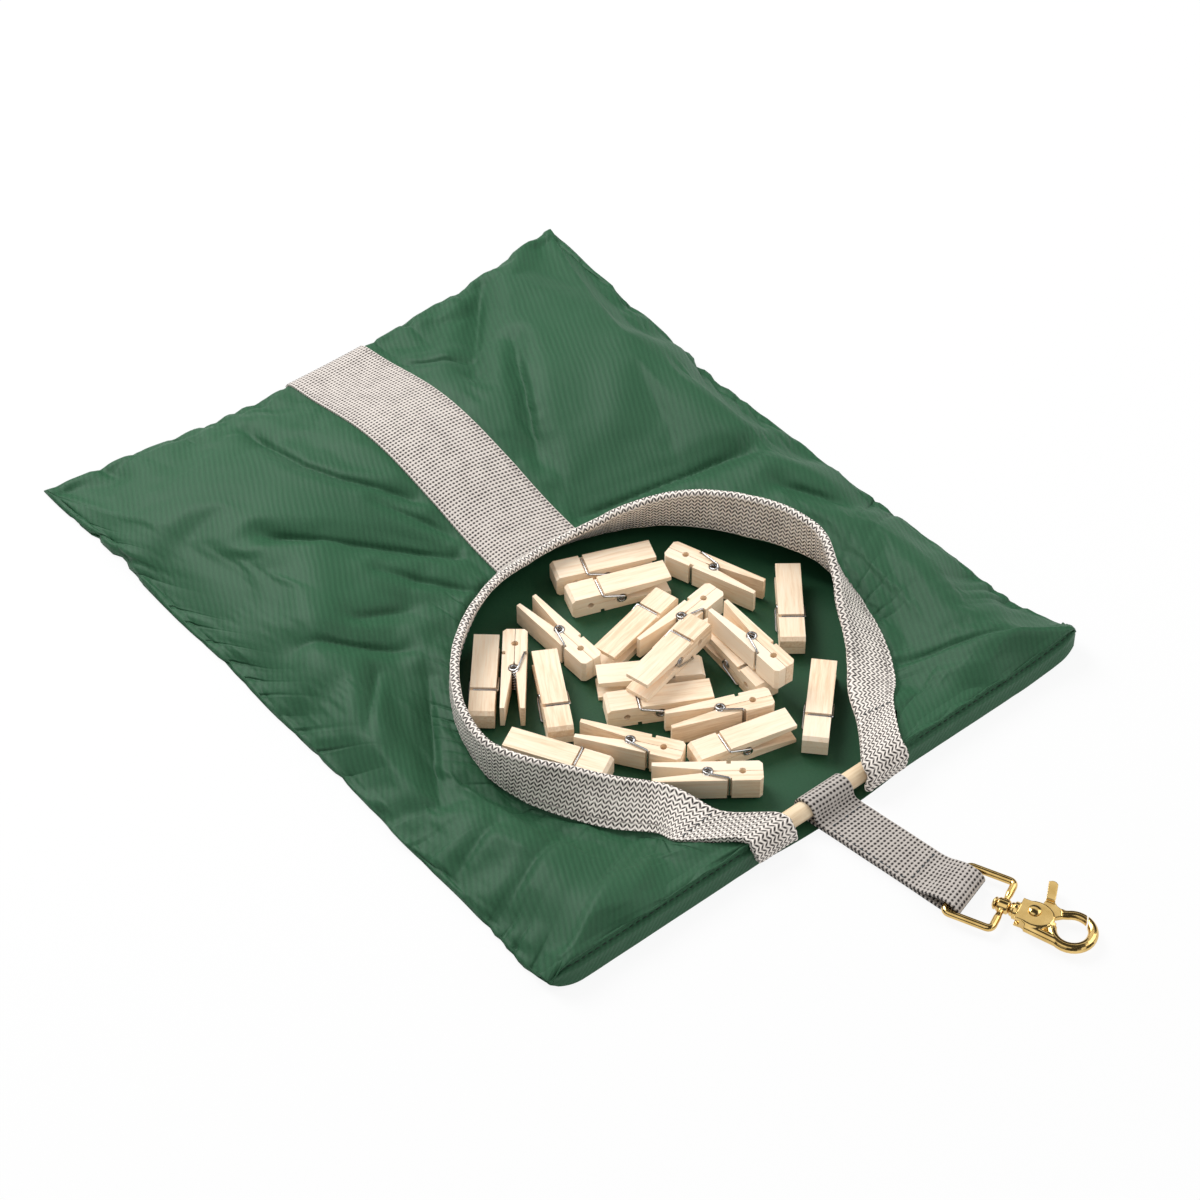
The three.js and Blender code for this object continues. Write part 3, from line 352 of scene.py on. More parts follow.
stripeWebLook = {
    "light": (0.66, 0.60, 0.55), "middle": (0.31, 0.275, 0.25), "gap": (0.02, 0.016, 0.016),
    "pitch": 0.0022, "column": 0.0021, "edgeFade": -1.0, "slant": None,
}
bandWebLook = {  # chevrons, whose lanes run across the webbing
    "light": (1.0, 0.93, 0.85), "middle": (0.45, 0.40, 0.365), "gap": (0.012, 0.010, 0.010),
    "pitch": 0.0025, "column": 0.0017, "edgeFade": -0.7, "slant": 0.8,
}
strapWebLook = {
    "light": (0.53, 0.485, 0.445), "middle": (0.235, 0.207, 0.188), "gap": (0.01, 0.008, 0.008),
    "pitch": 0.0023, "column": 0.0022, "edgeFade": -1.0, "slant": None,
}


def webbingFinish(name, look):
    finish, tree, shader = newMaterial(name)
    uv = coordinate(tree, "UV")
    along, across, _ = splitXyz(uv)
    laneWay, brickWay = (along, across) if look["slant"] else (across, along)
    lanes = calc("DIVIDE", laneWay, look["column"])
    inLane = calc("SUBTRACT", calc("FRACT", lanes), 0.5)
    phase = calc("DIVIDE", brickWay, look["pitch"])
    if look["slant"]:  # every other lane leans the other way
        odd = calc("MODULO", calc("ABSOLUTE", calc("FLOOR", lanes)), 2.0)
        lean = calc("MULTIPLY", inLane, calc("MULTIPLY_ADD", odd, 2.0, -1.0))
        phase = calc("MULTIPLY_ADD", lean, look["slant"], phase)
    phase = calc("MULTIPLY_ADD", noiseField(uv, 160), 0.3, phase)
    inBrick = calc("SUBTRACT", calc("FRACT", phase), 0.5)
    fine = noiseField(uv, 2600)
    slow = noiseField(uv, 120, 3)
    end, edge = [
        calc("POWER", calc("MULTIPLY", calc("ABSOLUTE", part), 2.0), power)
        for part, power in ((inBrick, 1.3), (inLane, 1.1))
    ]
    dot = calc("MULTIPLY", end, calc("MULTIPLY_ADD", edge, look["edgeFade"], 1.0))
    height = calc("SUBTRACT", calc("SUBTRACT", 1.0, dot), calc("MULTIPLY", edge, 0.1))
    tone = vary(vary(height, fine, 0.3), slow, 0.3)
    rampColour(shader, tone, (0.42, look["gap"]), (0.86, look["light"]), (0.62, look["middle"]))
    setSockets(shader, {"Roughness": 0.75, "Specular IOR Level": 0.25, "Sheen Weight": 0.1})
    low = bump(shader, fine, 0.3, 0.0002)
    bump(shader, height, 0.7, 0.0006, low)
    return finish


pegWoodLook = {"pale": (1.0, 0.85, 0.665), "warm": (0.98, 0.78, 0.57), "line": (0.85, 0.62, 0.41)}
dowelWoodLook = {"pale": (0.90, 0.74, 0.52), "warm": (0.82, 0.63, 0.41), "line": (0.66, 0.46, 0.27)}
grainStretch = {"streak": (30, 420, 420), "pore": (220, 3200, 3200)}


def woodFinish(name, look, attribute=None):
    finish, tree, shader = newMaterial(name)
    where = carried(tree, attribute) if attribute else coordinate(tree, "Object")
    streak = noiseField(mapped(where, "Scale", grainStretch["streak"]), 1.6, 4, 0.6)
    pore = noiseField(mapped(where, "Scale", grainStretch["pore"]), 1.0)
    tone = vary(vary(streak, noiseField(where, 9), 0.9), pore, 0.18)
    rampColour(shader, tone, (0.22, look["line"]), (0.62, look["pale"]), (0.42, look["warm"]))
    setSockets(shader, {"Roughness": 0.6, "Specular IOR Level": 0.3})
    low = bump(shader, pore, 0.2, 0.0001)
    bump(shader, streak, 0.15, 0.0003, low)
    return finish


def metalFinish(name, colour, dark, roughness):
    finish, tree, shader = newMaterial(name)
    place = coordinate(tree, "Object")
    slow = noiseField(place, 160, 3)
    rampColour(shader, slow, (0.3, dark), (0.7, colour))
    shader.inputs["Metallic"].default_value = 1.0
    tree.links.new(calc("MULTIPLY_ADD", slow, 0.08, roughness), shader.inputs["Roughness"])
    low = bump(shader, noiseField(place, 2400), 0.02, 0.0001)
    bump(shader, slow, 0.03, 0.0004, low)
    return finish


def threadFinish(name, pale, deep):
    finish, tree, shader = newMaterial(name)
    fine = noiseField(coordinate(tree, "Object"), 3000)
    rampColour(shader, fine, (0.3, deep), (0.7, pale))
    shader.inputs["Roughness"].default_value = 0.6
    bump(shader, fine, 0.3, 0.0002)
    return finish


bagCloth = bagClothFinish("bagCloth", frontClothLook)
insideShadedCloth = bagClothFinish("insideShadedCloth", insideShadedClothLook)
stripeWeb = webbingFinish("stripeWeb", stripeWebLook)
bandWeb = webbingFinish("bandWeb", bandWebLook)
strapWeb = webbingFinish("strapWeb", strapWebLook)
pegWood = woodFinish("pegWood", pegWoodLook, "grain")
dowelWood = woodFinish("dowelWood", dowelWoodLook)
brass = metalFinish("brass", (0.80, 0.56, 0.22), (0.62, 0.41, 0.14), 0.11)
springSteel = metalFinish("springSteel", (0.62, 0.62, 0.62), (0.40, 0.40, 0.41), 0.2)
darkThread = threadFinish("darkThread", (0.055, 0.075, 0.085), (0.022, 0.032, 0.04))
greyThread = threadFinish("greyThread", (0.42, 0.38, 0.35), (0.24, 0.21, 0.20))
# near-black green thread for the hem's stitch line, dark as painted shadow of the hem's crease
greenShadowThread = threadFinish("greenShadowThread", (0.006, 0.022, 0.011), (0.002, 0.008, 0.004))
print("finishes made")


# camera and light

photoView = {
    "azimuth": 140.55, "elevation": 45.86, "distance": 1.6233,
    "target": (-0.00557, 0.03355, 0.0), "lens": 94.07, "sensor": 36,
}
studio = {
    "key": {"at": (0.15, -1.15, 1.35), "size": 1.0, "power": 29},
    "fill": {"at": (-1.3, 0.9, 1.2), "size": 1.4, "power": 12},
    "target": (0, 0.03, 0), "world": 0.5, "dark": 0.06, "bandTurn": (5.0, 6.0), "bandGain": 1.1,
    "floorSize": 14, "floorZ": -0.0003, "floorGlow": 0.9,
}


def makeCamera(view):
    a = math.radians(view["azimuth"])
    e = math.radians(view["elevation"])
    back = Vector((math.sin(a) * math.cos(e), -math.cos(a) * math.cos(e), math.sin(e)))
    data = bpy.data.cameras.new("photoCamera")
    data.lens = view["lens"]
    data.sensor_width = view["sensor"]
    camera = newObject("photoCamera", data)
    camera.location = Vector(view["target"]) + back * view["distance"]
    camera.rotation_mode = "QUATERNION"
    camera.rotation_quaternion = (-back).to_track_quat("-Z", "Y")
    scene.camera = camera


def areaLight(name, setting):
    data = bpy.data.lights.new(name, "AREA")
    data.size = setting["size"]
    data.energy = setting["power"]
    lamp = newObject(name, data)
    lamp.location = setting["at"]
    aim = Vector(studio["target"]) - Vector(setting["at"])
    lamp.rotation_euler = aim.to_track_quat("-Z", "Y").to_euler()


# white where it is seen directly, in soft bands where metal mirrors it
def makeWorld(setting):
    world = bpy.data.worlds.new("studioWorld")
    scene.world = world
    world.use_nodes = True
    tree = world.node_tree
    sky = tree.nodes["Background"]
    sky.inputs["Color"].default_value = (1, 1, 1, 1)
    path = tree.nodes.new("ShaderNodeLightPath").outputs
    x, _, z = splitXyz(coordinate(tree, "Generated"))
    turnX, turnZ = setting["bandTurn"]
    band = calc("SINE", calc("MULTIPLY_ADD", x, turnX, calc("MULTIPLY", z, turnZ)))
    graded = calc("MULTIPLY_ADD", calc("MAXIMUM", band, 0.0), setting["bandGain"], setting["dark"])
    graded = calc("SUBTRACT", graded, setting["world"])
    strength = calc("MULTIPLY_ADD", path["Is Glossy Ray"], graded, setting["world"])
    strength = calc("MAXIMUM", strength, path["Is Camera Ray"])
    tree.links.new(strength, sky.inputs["Strength"])


def makeFloor(setting):
    deselectAll()
    bpy.ops.mesh.primitive_plane_add(size=setting["floorSize"], location=(0, 0, setting["floorZ"]))
    floor = bpy.context.object
    floor.name = "paleFloor"
    finish, tree, shader = newMaterial("paleFloor")
    setSockets(shader, {"Base Color": (0.8, 0.8, 0.8, 1), "Roughness": 0.9, "Specular IOR Level": 0.0})
    path = tree.nodes.new("ShaderNodeLightPath").outputs
    seen = calc("MAXIMUM", path["Is Camera Ray"], path["Is Glossy Ray"])
    seen = calc("MAXIMUM", seen, path["Is Transmission Ray"])
    glow = tree.nodes.new("ShaderNodeEmission")
    glow.inputs["Strength"].default_value = 1.0
    mix = tree.nodes.new("ShaderNodeMixShader")
    seen = calc("MULTIPLY", seen, setting["floorGlow"])
    for source, socket in zip((seen, shader.outputs[0], glow.outputs[0]), mix.inputs):
        tree.links.new(source, socket)
    tree.links.new(mix.outputs[0], tree.nodes["Material Output"].inputs["Surface"])
    dress(floor, finish)


makeCamera(photoView)
areaLight("keyLight", studio["key"])
areaLight("fillLight", studio["fill"])
makeWorld(studio)
makeFloor(studio)
scene.view_settings.view_transform = "Standard"
print("camera and light placed")


# sizes of the bag, in mm, as in the solids

bag = {
    "width": 345, "length": 434, "bottomBow": 16, "rightBow": 3, "leftBow": 10,
    "mouthRadius": 105, "mouthY": 107.1, "dowelY": 211.1, "dowelZ": 7.7,
    "hemLine": 214.6, "leftHem": 42, "rightHem": 46,
    "seamZ": 1.2, "crown": 14, "stripeWidth": 50.8, "stripeReach": 11.5, "clothDrop": 2.5,
    "leftRound": 6, "rightRound": 4, "leftRise": 6.0, "rightRise": 0.3,
}
halfWidth = bag["width"] / 2
halfLength = bag["length"] / 2
rimRows = np.array([  # reach, lift, lean from the -X side round the stripe to the +X side
    (0, 9, 70), (-3, 11, 48), (-3, 16, 6), (-7, 16, -8), (1, 11, 8), (9, 6, 34),
    (14, 6, 40), (10.5, 9, 18), (11.5, 8, 2), (10, 4.5, -2), (2, 4.5, 36), (-2, 6, 66),
], dtype=float)
rim = {
    "width": 25.4, "turn": 180, "fan": 132, "rowStep": 24, "step": 12,
    "setback": 20.6, "radius": 8.6, "drift": 4, "wrap": (0, 55, 108),
    "left": (64.5, 13, 17.5, 49.5), "right": (75, 12, 16.5, 54),  # out, lift, lip's lift, out at the dowel
}


def curveAt(rows, p):
    count = len(rows)
    p = np.clip(p, 0, count - 1)
    i = np.minimum(np.floor(p).astype(int), count - 2)
    w = (p - i)[:, None]
    longer = np.vstack([2 * rows[0] - rows[1], rows, 2 * rows[-1] - rows[-2]])
    a, b, c, d = longer[i], longer[i + 1], longer[i + 2], longer[i + 3]
    leave = (c - a) / 2
    arrive = (d - b) / 2
    square = 3 * (c - b) - 2 * leave - arrive
    cube = 2 * (b - c) + leave + arrive
    return b + leave * w + square * w ** 2 + cube * w ** 3


def stationFoot(turn):
    values = curveAt(rimRows, (turn + rim["fan"]) / rim["rowStep"])
    radius = bag["mouthRadius"] + values[:, 0]
    angle = np.radians(turn)
    foot = np.stack([radius * np.sin(angle), bag["mouthY"] - radius * np.cos(angle), values[:, 1]], axis=1)
    return foot, np.radians(values[:, 2])[:, None]


def stationFrames():
    turn = np.arange(-rim["fan"], rim["fan"] + 1, float(rim["step"]))
    foot, lean = stationFoot(turn)
    along = stationFoot(turn + 0.5)[0] - stationFoot(turn - 0.5)[0]
    along[:, 2] = 0
    along = unit(along)
    outwards = np.stack([along[:, 1], -along[:, 0], np.zeros(len(along))], axis=1)
    rise = np.cos(lean) * np.array([[0, 0, 1.0]]) - np.sin(lean) * outwards
    return foot, foot + rise * rim["width"]


# stitched across short of the dowel, then over the hem and down round the dowel
def endFrames(side, out, lift, lipLift, outAtDowel):
    y = bag["dowelY"] - rim["setback"]
    inwards = math.sqrt(rim["width"] ** 2 - (lipLift - lift) ** 2)
    foot = [(side * out, y, lift)]
    lip = [(side * (out - inwards), y, lipLift)]
    for degrees in rim["wrap"]:
        angle = math.radians(degrees)
        x = outAtDowel - rim["drift"] * degrees / rim["wrap"][-1]
        y = bag["dowelY"] + rim["radius"] * math.sin(angle)
        z = bag["dowelZ"] + rim["radius"] * math.cos(angle)
        foot.append((side * x, y, z))
        lip.append((side * (x - rim["width"]), y, z))
    return np.array(foot), np.array(lip)


def rimCurves():
    left = endFrames(-1, *rim["left"])
    right = endFrames(1, *rim["right"])
    return [np.vstack([a[::-1], b, c]) for a, b, c in zip(left, stationFrames(), right)]


footRows, lipRows = rimCurves()


def rimAt(turn):
    p = (turn + rim["turn"]) / rim["step"]
    foot = curveAt(footRows, p)
    rise = unit(curveAt(lipRows, p) - foot)
    step = 0.04
    ahead = curveAt(footRows, p + step) + curveAt(lipRows, p + step)
    behind = curveAt(footRows, p - step) + curveAt(lipRows, p - step)
    return foot, rise, unit(np.cross(ahead - behind, rise))


def bow(s):
    return 4 * s * (1 - s)


def bottomEdge(s):
    return np.stack([(s - 0.5) * bag["width"], -halfLength + bag["bottomBow"] * bow(s)], axis=1)


def sideEdge(side, bowIn, s):
    y = -halfLength + (bag["hemLine"] + halfLength) * s
    return np.stack([side * (halfWidth - bowIn * bow(s)), y], axis=1)


def hemEdge(first, last, s):
    return np.stack([first + (last - first) * s, np.full(len(s), bag["hemLine"])], axis=1)


stripeTurn = math.degrees(math.asin(bag["stripeWidth"] / 2 / (bag["mouthRadius"] + bag["stripeReach"])))
lowShare = 0.5 - bag["stripeWidth"] / 2 / bag["width"]
panelRuns = [  # columns, first turn, last turn, where the column meets the outline
    (4, -147, -126, lambda f: hemEdge(-bag["leftHem"], -halfWidth, f)),
    (9, -126, -88, lambda f: sideEdge(-1, bag["leftBow"], 1 - 0.35 * f)),
    (9, -88, -50, lambda f: sideEdge(-1, bag["leftBow"], 0.65 - 0.65 * f)),
    (9, -50, -stripeTurn, lambda f: bottomEdge(lowShare * f)),
    (4, -stripeTurn, stripeTurn, lambda f: bottomEdge(lowShare + (1 - 2 * lowShare) * f)),
    (9, stripeTurn, 50, lambda f: bottomEdge(1 - lowShare + lowShare * f)),
    (9, 50, 88, lambda f: sideEdge(1, bag["rightBow"], 0.65 * f)),
    (7, 88, 126, lambda f: sideEdge(1, bag["rightBow"], 0.65 + 0.35 * f)),
    (4, 126, 147, lambda f: hemEdge(halfWidth, bag["rightHem"], f)),
]
panelSteps = sum(run[0] for run in panelRuns)


def panelColumn(s):
    q = s * panelSteps
    turn = np.zeros(len(s))
    edge = np.zeros((len(s), 2))
    start = 0
    for steps, first, last, outline in panelRuns:
        here = (q >= start - 1e-6) & (q <= start + steps + 1e-6)
        f = share((q[here] - start) / steps)
        turn[here] = first + (last - first) * f
        edge[here] = outline(f)
        start += steps
    return turn, edge


# the corners at the dowel are drawn up to a point, the one at -X the most
def cornerRise(x, y):
    most = np.where(x < 0, bag["leftRise"], bag["rightRise"])
    return most * share((np.abs(x) - 125) / 47.5) ** 2 * share((y - 160) / 50) ** 2


# share of the full height along the hem: whole as far as the dowel's ends
def hemShare(x):
    inside = share((halfWidth - np.abs(x)) / 9.5)
    return inside * (2 - inside)


# whole down the sewn sides, and nothing at the hem
def sewnShare(y):
    return share((bag["hemLine"] - 1 - y) / 15)


# the corners at the dowel are rounded in plan
def roundCorners(places):
    r = np.where(places[:, 0] < 0, bag["leftRound"], bag["rightRound"])
    u = np.clip((np.abs(places[:, 0]) - halfWidth) / r + 1, 0, 1.1)
    v = np.clip((places[:, 1] - bag["hemLine"]) / r + 1, 0, 1.3)
    places[:, 0] -= np.sign(places[:, 0]) * r * u * (1 - np.sqrt(1 - v * v / 2))
    places[:, 1] -= r * v * (1 - np.sqrt(1 - u * u / 2))
    return places


# height of the sewn outline: near the floor at the sides, round the dowel's far shoulder along the hem
def outlineZ(edge):
    along = share((edge[:, 1] - bag["hemLine"] + 20) / 20)
    over = np.where(along > 0.999, 9.4 * hemShare(edge[:, 0]), 0)
    return bag["seamZ"] + 3.4 * along ** 2 + over + cornerRise(edge[:, 0], edge[:, 1])


panelForm = {
    "crownFrom": 22, "crownOver": 40, "foldEase": 22, "foldWidth": 13, "rimEase": 3.5,
    "swell": 5.0, "swellOver": 17, "hemSwell": 0.6, "hemEase": 25,
    "tentTop": 14.4, "tentFrom": 208, "tentTo": 213, "tentSlope": 0.9, "tentEnd": 163, "endSlope": 1.02,
}
broadFolds = np.array([  # from x, y to x, y in hundredths of the half width and length, and rise
    (80, -57, 86, -7, -3.5), (57, -32, 86, -5, 3.5), (65, -45, 21, -16, -3), (39, -74, 18, -34, -3),
    (83, -12, 56, 2, -3), (70, 12, 84, 44, -3), (-63, -92, -30, -60, -3.5), (-49, -64, -22, -26, -2.5),
    (-22, -8, -73, 5, -3.5), (-72, -42, -50, -24, 2.5), (-71, 20, -81, 34, -2.5),
]) * (1.725, 2.17, 1.725, 2.17, 1)


# signed distance to a line in plan, and a share that fades towards its ends
def lineSide(plan, line):
    points = np.array(line, dtype=float)
    side = np.full(len(plan), 1e3)
    kept = np.zeros(len(plan))
    for k, (a, b) in enumerate(zip(points[:-1], points[1:])):
        whole = b - a
        along = (plan - a) @ whole / (whole @ whole)
        near = plan - a - share(along)[:, None] * whole
        away = np.linalg.norm(near, axis=1)
        left = np.where(whole[0] * near[:, 1] - whole[1] * near[:, 0] < 0, -1, 1)
        first = share(along / 0.3) if k == 0 else 1.0
        last = share((1 - along) / 0.3) if k == len(points) - 2 else 1.0
        nearer = away < np.abs(side)
        side = np.where(nearer, away * left, side)
        kept = np.where(nearer, first * last, kept)
    return side, kept


def foldRise(plan):
    total = np.zeros(len(plan))
    for row in broadFolds:
        total += row[4] * hump(lineSide(plan, row[:4].reshape(2, 2))[0] / panelForm["foldWidth"])
    return total


# where the front panel lies before it wrinkles
def panelPlace(s, t):
    form = panelForm
    turn, edge = panelColumn(s)
    foot, rise, _ = rimAt(turn)
    start = foot - bag["clothDrop"] * rise
    end = np.column_stack([edge, outlineZ(edge)])
    run = np.hypot(end[:, 0] - start[:, 0], end[:, 1] - start[:, 1])
    places = start + (end - start) * t[:, None]
    x, y, z = places.T.copy()
    crown = bag["crown"] * np.sqrt(share(run / halfLength))
    crown *= share((run - form["crownFrom"]) / form["crownOver"])
    fromSeam = (1 - t) * run
    fromStripe = np.maximum(np.abs(x) - bag["stripeWidth"] / 2, 0)
    nearRim = share(form["rimEase"] * t)
    fade = share(np.minimum(np.minimum(fromSeam, fromStripe) / form["foldEase"], nearRim))
    z += crown * np.sin(np.pi * share(t) ** 1.2) ** 2
    sewn = form["hemSwell"] + (1 - form["hemSwell"]) * share((bag["hemLine"] - edge[:, 1]) / form["hemEase"])
    z += form["swell"] * np.sqrt(1 - (1 - share(fromSeam / form["swellOver"])) ** 3) * nearRim * sewn
    z += fade * foldRise(places[:, :2])
    outside = np.maximum(form["tentFrom"] - y, 0) + np.maximum(y - form["tentTo"], 0)
    tent = form["tentTop"] - form["tentSlope"] * outside + cornerRise(x, y)
    tent -= form["endSlope"] * np.maximum(np.abs(x) - form["tentEnd"], 0)
    over = np.minimum(np.logaddexp(z, tent), np.maximum(z, tent) + 0.3)
    places[:, 2] = np.where(tent > z - 5, over, z)
    return roundCorners(places)


# cloth front

frontPanel = {
    "thick": 0.6, "tuck": 0.04, "tuckRise": 6.0, "coarse": (192, 48), "fine": (384, 100), "floor": 1.1,
    "frames": 20, "most": 4, "ripple": 0.9, "rippleSize": 0.03, "rippleShift": (7.3, 3.1, 5.7),
}
clothSettings = {
    "quality": 7, "mass": 0.12, "tension_stiffness": 30, "compression_stiffness": 30, "shear_stiffness": 12,
    "bending_stiffness": 0.25, "air_damping": 2.0, "vertex_group_mass": "held", "pin_stiffness": 1.0,
    "shrink_min": -0.012, "use_pressure": True, "uniform_pressure_force": 0.25,
}
creases = [  # plan line in mm, depth, half width
    (((68, -175), (66, -128), (57, -107), (32, -74)), 2.6, 4.5),
    (((51, -82), (30, -47)), 1.8, 3.5),
    (((112, -97), (85, -74), (36, -34)), 2.6, 4.0),
    (((80, -43), (40, -2)), 1.8, 3.5),
    (((111, -25), (81, -16)), 1.8, 4.5),
    (((143, -25), (96, 4)), 2.2, 4.5),
    (((119, 9), (148, 40)), 2.0, 4.0),
    (((99, 26), (145, 95)), 2.2, 5.0),
    (((134, 126), (169, 135)), 1.8, 4.0),
    (((109, 147), (166, 170)), 1.8, 4.0),
    (((-109, -200), (-51, -130)), 2.2, 6.0),
    (((-28, -169), (-58, -144)), 2.4, 4.0),
    (((-85, -138), (-38, -57)), 2.0, 5.0),
    (((-35, -18), (-77, -6), (-126, 10)), 2.4, 5.0),
    (((-122, 43), (-140, 69)), 2.4, 5.0),
    (((-86, 167), (-136, 196)), 1.4, 3.0),
]
tucks = {"seamSize": 17, "slowSize": 48, "rimSize": 5.5, "pullReach": 12}


# a valley along each crease, between two low ridges
def creaseRise(plan):
    total = np.zeros(len(plan))
    for line, depth, width in creases:
        away = np.abs(lineSide(plan, line)[0])
        ridge = hump((away - 2.2 * width) / (1.4 * width))
        total += depth * (0.45 * ridge - 1.2 * np.exp(-away / (0.75 * width)))
    return total


# signed distance to the nearest crease, and its depth, which fades out between two creases
def creaseMap(plan):
    side = np.full(len(plan), 40.0)
    second = np.full(len(plan), 40.0)
    weight = np.zeros(len(plan))
    for line, depth, _ in creases:
        here, kept = lineSide(plan, line)
        away = np.abs(here)
        nearer = away < np.abs(side)
        second = np.where(nearer, np.abs(side), np.minimum(second, away))
        side = np.where(nearer, here, side)
        weight = np.where(nearer, 0.6 * depth * kept, weight)
    fade = share((14 - np.abs(side)) / 6) * share((second - np.abs(side) - 4) / 8)
    return np.clip(side, -15, 15), weight * fade


def seamNoise(edge):
    return noiseAt(edge[:, 0] / tucks["seamSize"], edge[:, 1] / tucks["seamSize"], 2.7)


def rimNoise(turn):
    return noiseAt(turn / tucks["rimSize"], 8.3, 1.1)


# the sewn edge is drawn in where it is tucked and stands out between
def edgePull(edge, away):
    slow = noiseAt(edge[:, 0] / tucks["slowSize"], edge[:, 1] / tucks["slowSize"], 6.1)
    pull = (1.6 + 2.4 * slow) * hump(seamNoise(edge) / 0.11) - 0.6 + 1.6 * slow
    return pull * np.exp(-away / tucks["pullReach"])


# short tucks that run in from the sewn edge and out from the binding
def puckerRise(edge, fromSeam, turn, fromRim):
    n = seamNoise(edge)
    seam = hump(n / 0.13) * (1 - np.exp(-fromSeam / 2.5)) * np.exp(-fromSeam / 16)
    rimTuck = hump(rimNoise(turn) / 0.13) * share(fromRim / 4) * np.exp(-fromRim / 12)
    puff = n * hump((fromSeam - 9) / 9)
    return 1.6 * puff - 2.2 * seam - 0.7 * rimTuck


# share of the way from the binding to the outline, below 0 where the cloth is tucked under the binding
def frontRow(r):
    eased = 0.65 * r + 0.35 * r * r * (3 - 2 * r)
    return (eased - frontPanel["tuck"]) / (1 - frontPanel["tuck"])


def frontPlace(s, r):
    t = frontRow(r)
    places = panelPlace(s, np.maximum(t, 0))
    rise = rimAt(panelColumn(s)[0])[1]
    tucked = share(-t / frontPanel["tuck"])[:, None]
    return np.where(t[:, None] < 0, places + rise * tucked * frontPanel["tuckRise"], places)


def frontSpots(columns, rows):
    order = np.arange((columns + 1) * (rows + 1))
    return (order % (columns + 1)) / columns, (order // (columns + 1)) / rows


# held under the binding, at the outline and under the stripe
def frontHeld(s, r):
    held = np.where((frontRow(r) <= 0) | (r >= 1 - 1e-6), 1.0, 0.0)
    return np.maximum(held, share((stripeTurn + 0.9 - np.abs(panelColumn(s)[0])) / 0.6))


# a coarse copy of the panel is blown up and crumpled a little; gives how far each point moved, in mm
def settleFront():
    columns, rows = frontPanel["coarse"]
    obj = gridPiece("frontTrial", columns, rows, frontPlace)
    held = frontHeld(*frontSpots(columns, rows))
    before = readPoints(obj)
    start = before.copy()
    shift = Vector(frontPanel["rippleShift"])
    ripple = np.array([noise.noise(Vector(p) / frontPanel["rippleSize"] + shift) for p in before])
    start[:, 2] += ripple * frontPanel["ripple"] * mm * (1 - held)
    movePoints(obj, start)
    obj.data.flip_normals()
    group = obj.vertex_groups.new(name="held")
    for i, weight in enumerate(held):
        group.add([i], float(weight), "REPLACE")
    settleCloth(obj)
    moved = (readPoints(obj) - before) / mm
    far = np.linalg.norm(moved, axis=1, keepdims=True)
    moved *= np.minimum(1, frontPanel["most"] / np.maximum(far, 1e-9))
    discard(obj)
    return moved.reshape(rows + 1, columns + 1, 3)


def settleCloth(obj):
    pick(obj)
    step = obj.modifiers.new("settle", "CLOTH")
    for key, value in clothSettings.items():
        setattr(step.settings, key, value)
    step.settings.effector_weights.gravity = 0
    step.collision_settings.use_collision = False
    step.point_cache.frame_start = 1
    step.point_cache.frame_end = frontPanel["frames"]
    for now in range(1, frontPanel["frames"] + 1):
        scene.frame_set(now)
    bpy.ops.object.modifier_apply(modifier="settle")
    scene.frame_set(1)


# shares of the coarse rows in each fine row
def finerShares(coarse, fine):
    p = np.linspace(0, coarse, fine + 1)
    i = np.minimum(np.floor(p).astype(int), coarse - 1)
    w = p - i
    taps = (
        -w + 2 * w ** 2 - w ** 3, 2 - 5 * w ** 2 + 3 * w ** 3,
        w + 4 * w ** 2 - 3 * w ** 3, w ** 3 - w ** 2,
    )
    shares = np.zeros((fine + 1, coarse + 1))
    for k, tap in enumerate(taps):
        np.add.at(shares, (np.arange(fine + 1), np.clip(i - 1 + k, 0, coarse)), tap / 2)
    return shares


def makeFront():
    moved = settleFront()
    columns, rows = frontPanel["fine"]
    moved = np.einsum("ij,jkc->ikc", finerShares(frontPanel["coarse"][1], rows), moved)
    moved = np.einsum("ij,kjc->kic", finerShares(frontPanel["coarse"][0], columns), moved).reshape(-1, 3)
    obj = gridPiece("bagFront", columns, rows, frontPlace)
    places = readPoints(obj) / mm
    s, r = frontSpots(columns, rows)
    turn, edge = panelColumn(s)
    loose = 1 - frontHeld(s, r)
    plan = places[:, :2].copy()
    fromSeam = np.linalg.norm(plan - edge, axis=1)
    fromRim = np.linalg.norm(plan - rimAt(turn)[0][:, :2], axis=1)
    offStripe = share((np.abs(turn) - stripeTurn) / 3)
    fade = share(np.minimum(fromSeam / 10, offStripe)) * share(fromRim / 6)
    ahead = panelColumn(share(s + 0.002))[1] - panelColumn(share(s - 0.002))[1]
    inwards = unit(np.column_stack([-ahead[:, 1], ahead[:, 0]]))
    sewn = sewnShare(edge[:, 1])
    places[:, :2] += inwards * (edgePull(edge, fromSeam) * sewn * offStripe)[:, None]
    places += moved
    lift = creaseRise(plan) * fade + puckerRise(edge, fromSeam, turn, fromRim) * (0.2 + 0.8 * sewn)
    places[:, 2] = np.maximum(places[:, 2] + lift * loose, frontPanel["floor"])
    movePoints(obj, places * mm)
    side, weight = creaseMap(plan)
    off = offStripe * loose
    farOff = 200  # a tuck has no height there
    carry(obj, "creaseMap", side, weight * fade, np.where(off * sewn > 0.5, fromSeam, farOff))
    carry(obj, "tuckMap", seamNoise(edge), rimNoise(turn), np.where(off > 0.5, fromRim, farOff))
    obj.data.flip_normals()
    return obj


bagFront = makeFront()
thicken(bagFront, frontPanel["thick"])
smooth(bagFront, 180)
complete(bagFront, bagCloth, "bag", "front_panel")
print("front made")


# cloth back

backPanel = {
    "columns": 70, "rows": 90, "thick": 0.5, "z": 0.55,
    "ripple": 0.25, "rippleSize": 26, "flap": 4, "pinch": 3.2,
}


